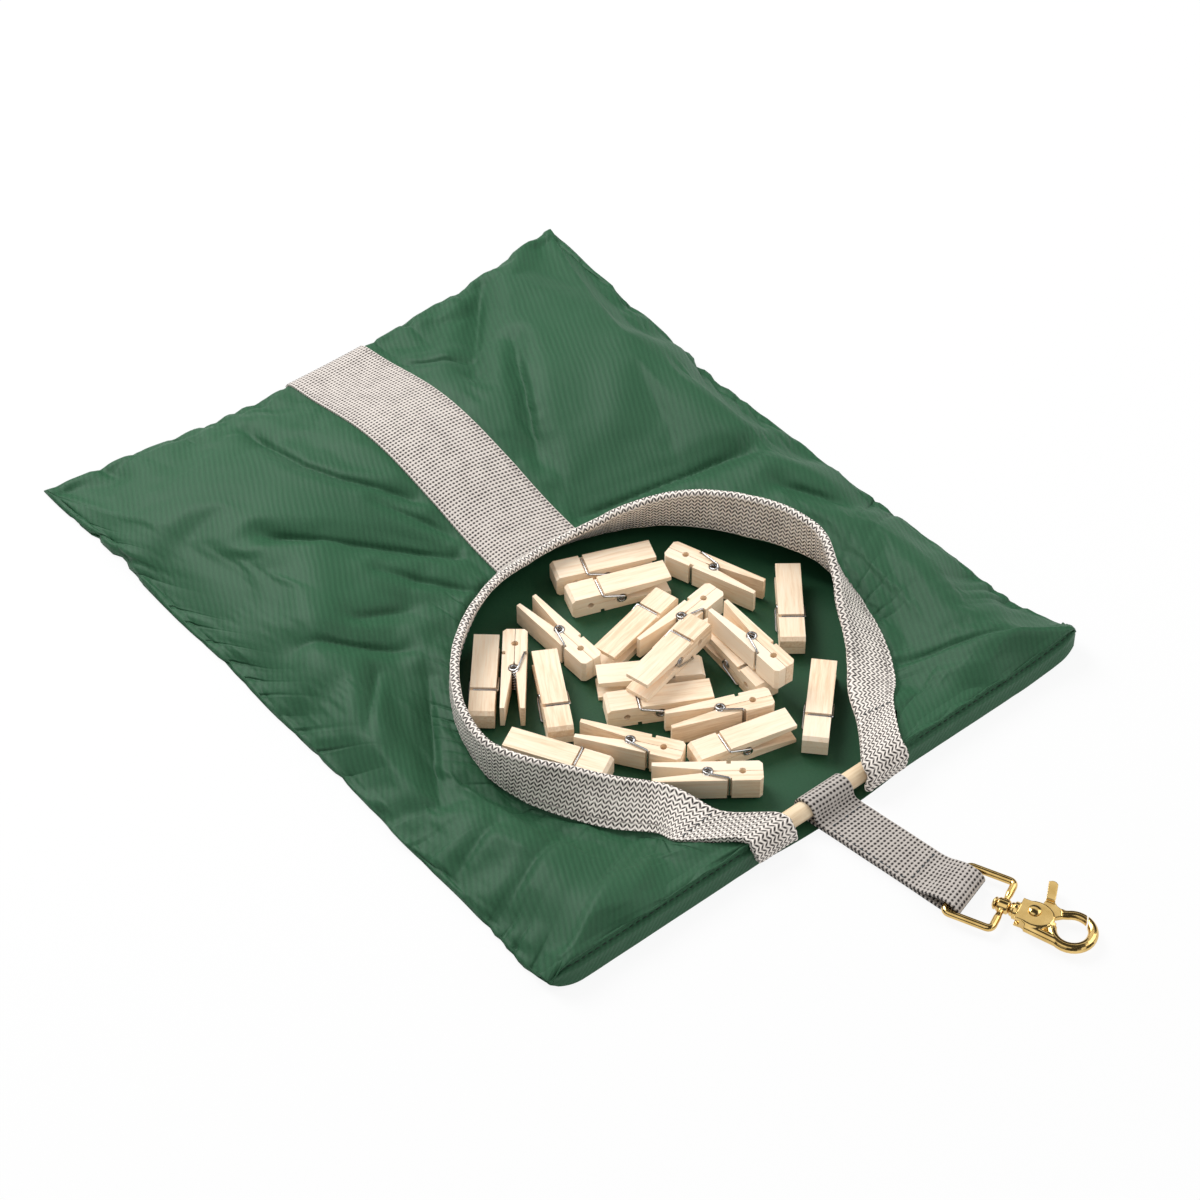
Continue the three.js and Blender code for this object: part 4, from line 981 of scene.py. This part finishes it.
def backPlace(s, t):
    left = -(halfWidth - bag["leftBow"] * bow(t))
    right = halfWidth - bag["rightBow"] * bow(t)
    x = left + (right - left) * s
    low = -halfLength + bag["bottomBow"] * bow((x + halfWidth) / bag["width"])
    flap = backPanel["flap"] * bow(share((x + 60) / 120))
    y = low + (bag["hemLine"] + 1.4 * hemShare(x) + flap - low) * t
    ripple = noiseAt(x / backPanel["rippleSize"], y / backPanel["rippleSize"], 0.4)
    sewn = sewnShare(y)
    x = x + edgePull(np.column_stack([left, y]), x - left) * sewn
    x = x - edgePull(np.column_stack([right, y]), right - x) * sewn
    offStripe = share((np.abs(x) - bag["stripeWidth"] / 2) / 10)
    y = y + edgePull(np.column_stack([x, low]), y - low) * offStripe
    pinch = backPanel["pinch"] * share((np.abs(x) - 150) / 22.5) ** 2 * share((y - 192) / 18) ** 2
    z = backPanel["z"] + backPanel["ripple"] * ripple + pinch + cornerRise(x, y)
    return roundCorners(np.column_stack([x, y, z]))


bagBack = gridPiece("bagBack", backPanel["columns"], backPanel["rows"], backPlace)
thicken(bagBack, backPanel["thick"])
smooth(bagBack, 60)
# the back panel takes the darker copy of the cloth; its darkness is painted shade
complete(bagBack, insideShadedCloth, "bag", "back_panel")
print("back made")


# hem round the dowel

hem = {
    "inner": 29, "outer": 172, "radius": 6.05, "columns": 130, "rows": 90, "thick": 0.6,
    "lap": 205.5, "lapEnd": 170, "girth": 44, "weaveFrom": 204, "endRound": 16,
    "parts": (0, 0.2, 0.55, 0.8, 1),  # where the lap, the turn, the drop and the return begin and end
    "seam": 0.365, "groove": 0.85, "grooveWidth": 0.034, "roll": 0.6, "rollAt": 0.08, "rollWidth": 0.045,
    "wave": 0.45, "waveSize": 11, "floor": 0.95,
}


def frontHeights(x, y):
    tree = bvhtree.BVHTree.FromObject(bagFront, bpy.context.evaluated_depsgraph_get())
    down = Vector((0, 0, -1))
    hits = [tree.ray_cast(Vector((a * mm, y * mm, 0.1)), down)[0] for a in x]
    return np.array([hit.z / mm if hit else 3.0 for hit in hits])


# from under the front panel's edge, over the dowel, down its far side and under to the back panel
def hemSection(p, lapY, lapZ, top, low, past):
    r = hem["radius"] * (1 - 0.75 * past ** 2)
    widest = low + 0.45 * (top - low)
    marks = hem["parts"]
    lap, turn, drop, under = [share((p - a) / (b - a)) for a, b in zip(marks[:-1], marks[1:])]
    turn = turn * math.pi / 2
    y = lapY + (bag["dowelY"] - lapY) * lap + r * np.sin(turn) + 0.8 * drop - (r + 9) * under
    z = lapZ + (top - lapZ) * lap - (top - widest) * (1 - np.cos(turn)) - (widest - low) * drop
    return y, z


def hemX(side, s):
    return side * (hem["inner"] + (hem["outer"] - hem["inner"]) * s)


def hemPlace(side):
    def place(s, p):
        x = hemX(side, s)
        line = np.unique(x)
        lapLine = frontHeights(np.clip(line, -hem["lapEnd"], hem["lapEnd"]), hem["lap"]) - 0.8
        lapY = hem["lap"] + 6 * share((66 - np.abs(x)) / 8)
        past = share((np.abs(x) - hem["outer"] + hem["endRound"]) / hem["endRound"])
        rise = cornerRise(x, np.full(len(x), bag["dowelY"]))
        top = 4.2 + 9.5 * hemShare(x) + rise
        low = 1.0 + rise + 2.6 * past ** 2
        y, z = hemSection(p, lapY, np.minimum(np.interp(x, line, lapLine), top), top, low, past)
        fromSeam = p - hem["seam"]
        roll = hem["roll"] * hump((fromSeam - hem["rollAt"]) / hem["rollWidth"])
        swell = roll - hem["groove"] * hump(fromSeam / hem["grooveWidth"])
        wave = hem["wave"] * noiseAt(x / hem["waveSize"], p * 2.0, side)
        swell += wave * share(6 * (p - 0.15)) * share(5 * (0.95 - p)) * (1 - past)
        return roundCorners(np.column_stack([x, y + 0.7 * swell, np.maximum(z + 0.7 * swell, hem["floor"])]))
    return place


def hemWeave(side):
    return lambda s, p: np.column_stack([hemX(side, s), hem["weaveFrom"] + hem["girth"] * p])


for side, name in ((1, "Right"), (-1, "Left")):
    piece = gridPiece("hem" + name, hem["columns"], hem["rows"], hemPlace(side), hemWeave(side))
    thicken(piece, hem["thick"])
    smooth(piece, 60)
    complete(piece, bagCloth, "bag", "dowel_sleeve_" + name.lower())
print("hem made")


# dowel

dowelSize = {"radius": 4.75, "length": 327, "chamfer": 0.8}


def makeDowel():
    deselectAll()
    bpy.ops.mesh.primitive_cylinder_add(
        vertices=48, radius=dowelSize["radius"] * mm, depth=dowelSize["length"] * mm,
        location=metres((0, bag["dowelY"], bag["dowelZ"])), rotation=(0, math.pi / 2, 0))
    obj = bpy.context.object
    obj.name = "dowelRod"
    bpy.ops.object.transform_apply(location=True, rotation=True, scale=True)
    chamfer = dowelSize["chamfer"] * mm
    modify(obj, "BEVEL", width=chamfer, segments=3, limit_method="ANGLE", angle_limit=math.radians(60))
    smooth(obj, 40)
    complete(obj, dowelWood, "bag", "dowel")


makeDowel()
print("dowel made")


# binding of folded webbing round the mouth

binding = {"half": 1.9, "bead": 2.35, "shoulder": 2.2, "ease": 1.2, "columns": 400, "rows": 64, "weaveAt": 12}


# out-face from the foot up, round the lip, down the in-face and across the foot
def bindingSection(p):
    half, bead = binding["half"], binding["bead"]
    beadAt = rim["width"] - bead
    straight = beadAt - binding["shoulder"]
    arc = math.pi * bead + 2 * binding["ease"]
    total = 2 * straight + arc + 2 * half
    d = p * total
    part = np.searchsorted([straight, straight + arc, 2 * straight + arc], d)
    angle = (-0.28 + 1.56 * (d - straight) / arc) * math.pi
    across = np.choose(part, [half, bead * np.cos(angle), -half, -half + (d - 2 * straight - arc)])
    along = np.choose(part, [d, beadAt + bead * np.sin(angle), straight - (d - straight - arc), 0])
    return across, along, d


def bindingTurn(s):
    return -rim["turn"] + 2 * rim["turn"] * s


def bindingPlace(s, p):
    turn = bindingTurn(s)
    foot, rise, face = rimAt(turn)
    across, along, _ = bindingSection(p)
    along = along + 0.5 * noiseAt(turn / 6.5, 0.3, 0.7) * (along / rim["width"])
    across = across + 0.35 * noiseAt(turn / 4.5, along / 12, 4.1)
    return foot + across[:, None] * face + along[:, None] * rise


def bindingWeave(s, p):
    turn = np.linspace(-rim["turn"], rim["turn"], 2000)
    foot, rise, _ = rimAt(turn)
    run = runAlong(foot + rise * binding["weaveAt"])
    return np.column_stack([np.interp(bindingTurn(s), turn, run), bindingSection(p)[2]])


mouthBinding = gridPiece("mouthBinding", binding["columns"], binding["rows"], bindingPlace, bindingWeave)
mergeAndFill(mouthBinding)
smooth(mouthBinding, 50)
complete(mouthBinding, bandWeb, "bag", "mouth_binding")
print("binding made")


# webbing stripe

stripe = {"columns": 24, "rows": 90, "thick": 1.2, "lift": 0.5, "run": 4}  # run: its place in panelRuns


def stripePlace(s, t):
    first = sum(run[0] for run in panelRuns[:stripe["run"]])
    steps = panelRuns[stripe["run"]][0]
    q = np.clip(first + steps * s, first + 1e-5, first + steps - 1e-5) / panelSteps
    row = np.minimum(0.002 + t, 1)
    step = 1e-3
    across = panelPlace(q + step, row) - panelPlace(q - step, row)
    down = panelPlace(q, np.minimum(row + step, 1)) - panelPlace(q, row - step)
    normal = unit(np.cross(down, across))
    normal = np.where(normal[:, 2:] < 0, -normal, normal)
    return panelPlace(q, row) + normal * (stripe["lift"] + stripe["thick"] / 2)


def stripeWeave(s, t):
    even = np.linspace(0, 1, 400)
    run = runAlong(stripePlace(np.full(400, 0.5), even))
    return np.column_stack([np.interp(t, even, run), s * bag["stripeWidth"]])


frontStripe = gridPiece("frontStripe", stripe["columns"], stripe["rows"], stripePlace, stripeWeave)
thicken(frontStripe, stripe["thick"])
smooth(frontStripe, 50)
complete(frontStripe, stripeWeb, "bag", "front_stripe")
print("stripe made")


# hanging strap

strap = {
    "width": 25.4, "thick": 1.3, "barX": -12.18, "barY": 79.67, "reach": 81, "heading": 16, "headingFrom": 4,
    "columns": 260, "rows": 20, "topZ": 3.35, "bottomZ": 1.85, "wrapRadius": 5.85, "wave": 0.15,
}
strapEnd = np.array([  # along and height: the open loop that holds the eye's bar
    (60, 3.35), (64, 3.4), (69, 4.3), (74, 6.4), (79, 8.2), (84, 8.7), (88, 7.5),
    (89.8, 5.2), (88.6, 2.9), (85, 1.7), (79, 1.4), (72, 1.5), (65, 1.8), (60, 1.85),
])
strapLap = [(6.6, 5.6), (8.6, 3.9), (12.5, 3.35)]  # from the dowel back to the start


def strapBend(along, across):
    turned = share((along - strap["headingFrom"]) / (strap["reach"] - strap["headingFrom"]))
    heading = math.radians(strap["heading"]) * turned
    x = along / strap["reach"] * strap["barX"]
    y = along / strap["reach"] * strap["barY"]
    return x + across * np.cos(heading), bag["dowelY"] + y + across * np.sin(heading)


# along and height of the ribbon's middle, once round
def strapLoop():
    top = [(a, strap["topZ"]) for a in np.linspace(12.5, 58, 24)]
    loop = curveAt(strapEnd, np.linspace(0, len(strapEnd) - 1, 90))
    bottom = [(a, strap["bottomZ"]) for a in np.linspace(58, 0, 30)]
    turns = np.radians(np.linspace(-90, -340, 30)[1:])
    r = strap["wrapRadius"]
    wrap = [(r * math.cos(a), bag["dowelZ"] + r * math.sin(a)) for a in turns]
    path = np.vstack([top, loop, bottom, wrap, strapLap])
    return path, runAlong(path)


def strapPlace(s, t):
    path, run = strapLoop()
    along, height = [np.interp(s * run[-1], run, path[:, k]) for k in (0, 1)]
    across = (t - 0.5) * strap["width"]
    x, y = strapBend(along, across)
    return np.column_stack([x, y, height + strap["wave"] * noiseAt(along / 14, across / 20, 9.2)])


def strapWeave(s, t):
    return np.column_stack([s * strapLoop()[1][-1], t * strap["width"]])


hangStrap = gridPiece("hangStrap", strap["columns"], strap["rows"], strapPlace, strapWeave)
mergeAndFill(hangStrap, fill=False)
thicken(hangStrap, strap["thick"])
smooth(hangStrap, 50)
complete(hangStrap, strapWeb, "hanger", "hanging_strap")
print("strap made")


# stitches

stitch = {"long": 2.9, "gap": 1.2, "radius": 0.3, "points": 240, "proud": 0.12}


def stitchShape():
    deselectAll()
    bpy.ops.mesh.primitive_uv_sphere_add(segments=6, ring_count=4, radius=1)
    bpy.ops.object.shade_smooth()
    return bpy.context.object


def stitchLine(shape, name, places, finish, body="bag"):
    run = runAlong(places)
    pitch = stitch["long"] + stitch["gap"]
    count = max(1, int(run[-1] / pitch))
    copies = []
    for i in range(count):
        ends = [i * pitch + (run[-1] - count * pitch) / 2 + shift for shift in (0, stitch["long"])]
        a, b = [Vector([np.interp(d, run, places[:, k]) * mm for k in range(3)]) for d in ends]
        mesh = shape.data.copy()
        size = Matrix.Diagonal((stitch["radius"] * mm, stitch["radius"] * mm, (b - a).length / 2, 1))
        turn = (b - a).to_track_quat("Z", "Y").to_matrix().to_4x4()
        mesh.transform(Matrix.Translation((a + b) / 2) @ turn @ size)
        copies.append(newObject(name, mesh))
    pick(*copies)
    if len(copies) > 1:
        bpy.ops.object.join()
    complete(copies[0], finish, body)


def bandLine(turns, alongs, side):
    foot, rise, face = rimAt(turns)
    return foot + rise * alongs[:, None] + face * side * (binding["half"] + stitch["proud"])


def strapLine(alongs, acrosses, height):
    x, y = strapBend(alongs, acrosses)
    return np.column_stack([x, y, np.full(len(x), height)])


def makeStitches():
    shape = stitchShape()
    even = np.linspace(0, 1, stitch["points"])
    level = np.ones(stitch["points"])
    for side, name in ((1, "Right"), (-1, "Left")):
        line = bandLine(side * 144 * level, 2 + 21.2 * even, 1)
        stitchLine(shape, "bandEndStitch" + name, line, darkThread)
        line = stripePlace((0.5 + side * 0.4587) * level, 0.03 + 0.94 * even)
        line[:, 2] += stripe["thick"] / 2 + 0.1
        stitchLine(shape, "stripeStitch" + name, line, greyThread)
        # the hem's stitches sit in its groove; their near-black thread is painted shadow of that crease
        line = hemPlace(side)(0.2 + 0.77 * even, hem["seam"] * level) + np.array([0, 0.25, 0.28])
        stitchLine(shape, "hemShadowStitch" + name, line, greenShadowThread)
    for side, name in ((1, "Out"), (-1, "In")):
        stitchLine(shape, "bandFootStitch" + name, bandLine(-141 + 282 * even, 4 * level, side), greyThread)
    across = -11.4 + 22.8 * even
    stitchLine(shape, "strapStitchDowel", strapLine(14 * level, across, 4.1), darkThread, "hanger")
    stitchLine(shape, "strapStitchLoop", strapLine(61 * level, across, 4.15), darkThread, "hanger")
    stitchLine(shape, "strapStitchSide", strapLine(14 + 47 * even, 11 * level, 4.1), darkThread, "hanger")
    discard(shape)


makeStitches()
print("stitches made")


# brass snap: smoothed castings of the solids

castings = [  # node, name, body, voxel mm, smoothing passes, swell mm
    ("snap_eye", "snapEye", "eye", 0.24, 6, 0.35),
    ("swivel_post", "swivelPost", "snap", 0.2, 3, 0),
    ("snap_body", "snapBody", "snap", 0.24, 7, 0),
    ("snap_trigger", "snapTrigger", "trigger", 0.22, 6, 0),
    ("trigger_rivet", "triggerRivet", "snap", 0.16, 3, 0),
]
snap = {  # in mm, from the eye's bar along the snap
    "heading": 24, "boss": (0, 24, 0), "bossRound": 5.5, "dome": ((-1.5, 39.0, 3.5), 3.3, 1.2),
    "collar": ((0, 29.4, 0), (0, 31.6, 0), 4.4), "arm": ((6.9, 37.5, 0), (8.7, 53.5, 0), 2.6),
    "cheek": (13.0, 8.5, 1.5), "cheekY": 35.8, "cheekZ": 2.45,
    "springFoot": (2.8, 32.9, 0), "springKeep": 0.5,
}


def snapMatrix():
    low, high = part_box("snap_body")
    spot = Vector((strap["barX"] * mm, (bag["dowelY"] + strap["barY"]) * mm, (low[2] + high[2]) / 2))
    return Matrix.Translation(spot) @ Matrix.Rotation(math.radians(snap["heading"]), 4, "Z")


def addBar(start, end, radius):
    run = Vector(end) - Vector(start)
    deselectAll()
    bpy.ops.mesh.primitive_cylinder_add(vertices=40, radius=radius * mm, depth=run.length * mm)
    bar = bpy.context.object
    turn = run.to_track_quat("Z", "Y").to_matrix().to_4x4()
    bar.data.transform(Matrix.Translation((Vector(start) + run / 2) * mm) @ turn)
    return bar


def addBlock(size, at):
    deselectAll()
    bpy.ops.mesh.primitive_cube_add(size=1)
    block = bpy.context.object
    block.data.transform(Matrix.Translation(Vector(at) * mm) @ Matrix.Diagonal((*metres(size), 1)))
    return block


def addDome(at, wide, high):
    deselectAll()
    bpy.ops.mesh.primitive_uv_sphere_add(segments=32, ring_count=16, radius=1)
    dome = bpy.context.object
    size = Matrix.Diagonal((wide * mm, wide * mm, high * mm, 1))
    dome.data.transform(Matrix.Translation(Vector(at) * mm) @ size)
    return dome


# what the casting has beyond the plain solid: collar, squared cheeks, the long arm and the rivet's dome
def castExtras(node):
    if node == "trigger_rivet":
        return [addDome(*snap["dome"])]
    if node != "snap_body":
        return []
    cheeks = [addBlock(snap["cheek"], (0, snap["cheekY"], side * snap["cheekZ"])) for side in (-1, 1)]
    return [addBar(*snap["collar"]), *cheeks, addBar(*snap["arm"])]


# the eye's wire is stouter than the solid's, and its boss is not
def swellEye(obj, amount):
    places = readPoints(obj)
    normals = np.empty(len(places) * 3, dtype=np.float32)
    obj.data.vertices.foreach_get("normal", normals)
    boss = snapMatrix() @ Vector(metres(snap["boss"]))
    away = np.linalg.norm(places - np.array(boss), axis=1) / mm
    swollen = share((away - snap["bossRound"]) / 2.5)[:, None]
    movePoints(obj, places + normals.reshape(-1, 3) * swollen * amount * mm)


def nodeCopy(node, name):
    obj = newObject(name, nodes[node].data.copy())
    obj.data.transform(nodes[node].matrix_world)
    return obj


def casting(node, name, body, voxel, passes, swell):
    obj = nodeCopy(node, name)
    extras = castExtras(node)
    for extra in extras:
        extra.data.transform(snapMatrix())
    if extras:
        pick(obj, *extras)
        bpy.ops.object.join()
    mergeAndFill(obj, fill=False)
    modify(obj, "REMESH", mode="VOXEL", voxel_size=voxel * mm)
    modify(obj, "SMOOTH", factor=0.5, iterations=passes)
    if swell:
        swellEye(obj, swell)
    smooth(obj, 180)
    complete(obj, brass, body, node)


# the spring behind the trigger's heel, which shortens as the trigger opens, is copied here from its solid
# onto the snap
def makeTriggerSpring():
    obj = nodeCopy("trigger_spring", "triggerSpring")
    mergeAndFill(obj, fill=False)
    smooth(obj, 60)
    complete(obj, springSteel, "snap", "trigger_spring")
    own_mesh(obj)


for entry in castings:
    casting(*entry)
makeTriggerSpring()
print("snap made")


# spring pegs

peg = {
    "length": 54, "width": 13, "thick": 12.5, "sideHigh": 15.8, "face": 0.15, "nose": 2.5, "noseDrop": 1.7,
    "notchAt": 17, "notchRadius": 1.7, "grooveAt": 10.5, "grooveWidth": 2.2, "grooveDepth": 1.7,
    "coilBore": 2.95, "gapAtCoil": 0.8, "gapAtEnd": 4.0, "cutLength": 30, "lowBase": 1.1, "topBase": 13.9,
    "wire": 0.55, "coilRadius": 2.1, "loops": 8, "loopSteps": 14, "springSide": 7.35,
    "armTip": 5.0, "armLength": 11.6, "armBend": (2.7, 4.8),
}
pegPlaces = [  # number, side and along in hundredths of the mouth's radius, heading
    (1, -16.2, -81, -22), (2, -12.4, -64.9, -20), (3, -54, -41, -71), (4, -68.6, -1, 51),
    (5, 31.4, -56.3, 90), (6, 76.4, -57.8, 49), (7, 64.2, -50.2, -130), (8, 57.3, -29.4, 60),
    (9, -1.9, -38.2, -167), (10, -20, -25.8, -172), (12, 13.3, -9.6, 148), (13, 21, 5.6, -29),
    (15, -26.7, 7.5, 84), (16, -36.2, 56.1, 43), (17, 50.5, 19.9, 124), (18, 80, 2.8, 119),
    (19, 4.8, 31.3, 158), (20, 6.7, 49.4, -14), (21, 35.4, 57.7, 142), (11, 4.8, -5.8, -167),
    (14, -29.5, 14.2, 88),
]
workingPegs = {2, 6, 11, 16, 18, 20}
sidePegs = {3, 5, 7, 10, 14, 17, 19, 21}  # these lie on their sides
topPegs = {11, 14}  # and these on other pegs


def addRound(radius, at):
    deselectAll()
    bpy.ops.mesh.primitive_cylinder_add(
        vertices=32, radius=radius * mm, depth=peg["cutLength"] * mm,
        location=metres(at), rotation=(math.pi / 2, 0, 0))
    bpy.ops.object.transform_apply(location=True, rotation=True, scale=True)
    return bpy.context.object


def carve(obj, tool):
    modify(obj, "BOOLEAN", operation="DIFFERENCE", object=tool, solver="EXACT")
    discard(tool)


def cutAway(obj, at, normal):
    pick(obj)
    bpy.ops.object.mode_set(mode="EDIT")
    bpy.ops.mesh.select_all(action="SELECT")
    bpy.ops.mesh.bisect(plane_co=metres(at), plane_no=normal, use_fill=True, clear_outer=True)
    bpy.ops.object.mode_set(mode="OBJECT")


def pegHalf():
    outer = peg["thick"] / 2
    end = peg["length"] / 2
    half = addBlock((peg["length"], peg["width"], outer - peg["face"]), (0, 0, (outer + peg["face"]) / 2))
    cutAway(half, (end, 0, outer - peg["noseDrop"]), (peg["noseDrop"], 0, peg["nose"]))
    slope = (peg["gapAtEnd"] - peg["gapAtCoil"]) / end
    cutAway(half, (0, 0, peg["gapAtCoil"]), (-slope, 0, -1))
    carve(half, addRound(peg["notchRadius"], (peg["notchAt"], 0, peg["face"])))
    carve(half, addRound(peg["coilBore"], (0, 0, 0)))
    groove = (peg["grooveWidth"], peg["cutLength"], 2 * peg["grooveDepth"])
    carve(half, addBlock(groove, (peg["grooveAt"], 0, outer)))
    smooth(half, 35)
    return half


# one arm across the groove, round to the coil, and the same arm turned over at the other end
def springPath():
    armX = peg["grooveAt"]
    armZ = peg["thick"] / 2 - peg["grooveDepth"] + 0.3 + peg["wire"]
    r = peg["coilRadius"]
    side = peg["springSide"]
    leave = math.atan2(armZ, armX) + math.acos(r / math.hypot(armX, armZ))
    sweep = 2 * math.pi * peg["loops"] - 2 * leave
    steps = int(sweep / (2 * math.pi) * peg["loopSteps"])
    arm = [(armX, peg["armTip"] - k * peg["armLength"], -armZ) for k in np.linspace(0, 1, 5)]
    arm += [(armX - 0.15, -side + 0.22, -armZ + 0.05), (armX - 0.6, -side, -armZ + 0.35)]
    coil = []
    for i in range(steps + 1):
        angle = -leave - sweep * i / steps
        coil.append((r * math.cos(angle), -side + 2 * side * i / steps, r * math.sin(angle)))
    return arm + coil + [(x, -y, -z) for x, y, z in arm[::-1]]


def pegSpring():
    points = springPath()
    line = bpy.data.curves.new("pegSpring", "CURVE")
    line.dimensions = "3D"
    line.bevel_depth = peg["wire"] * mm
    line.bevel_resolution = 2
    line.use_fill_caps = True
    spline = line.splines.new("POLY")
    spline.points.add(len(points) - 1)
    for point, spot in zip(spline.points, points):
        point.co = (*metres(spot), 1)
    obj = newObject("pegSpring", line)
    pick(obj)
    bpy.ops.object.convert(target="MESH")
    smooth(obj, 60)
    return obj


def pegCopy(template, name, placing, shift, finish, body, node):
    obj = newObject(name, template.data.copy())
    obj.data.name = name
    carry(obj, "grain", readPoints(obj) + np.array(shift))
    obj.data.transform(placing)
    complete(obj, finish, body, node)
    return obj


def pegPlacing(number, side, along, heading):
    onSide = number in sidePegs
    base = peg["topBase"] if number in topPegs else peg["lowBase"]
    high = peg["sideHigh"] if onSide else peg["thick"]
    part = bag["mouthRadius"] / 100
    spot = Vector((side * part, bag["mouthY"] + along * part, base + high / 2)) * mm
    placing = Matrix.Translation(spot) @ Matrix.Rotation(math.radians(heading), 4, "Z")
    return placing @ Matrix.Rotation(math.pi / 2, 4, "X") if onSide else placing


def makePegs():
    half = pegHalf()
    spring = pegSpring()
    turnOver = Matrix.Rotation(math.pi, 4, "X")
    for i, row in enumerate(pegPlaces):
        name = f"peg_{row[0]:02d}"
        placing = pegPlacing(*row)
        shift = (0.31 * i, 0.17 * i + 0.05, 0.23 * i)  # its own piece of the grain
        other = (shift[0] + 0.11, shift[1] + 0.07, shift[2])
        working = row[0] in workingPegs
        solids = [name, None, None]
        if working:
            solids = [name + end for end in ("_upper_half", "_lower_half", "_spring")]
        lever = name + "_lever" if working else "bag"
        pegCopy(half, name + ".upper", placing, shift, pegWood, lever, solids[0])
        pegCopy(half, name + ".lower", placing @ turnOver, other, pegWood, "bag", solids[1])
        body = None if working else "bag"
        wire = pegCopy(spring, name + ".spring", placing, shift, springSteel, body, solids[2])
        if working:  # in the real peg the spring's upper arm goes with the upper half; here the wire rides no body, its placing baked into its points
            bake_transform(wire)
    discard(half)
    discard(spring)


makePegs()
print("pegs made")


print("done")
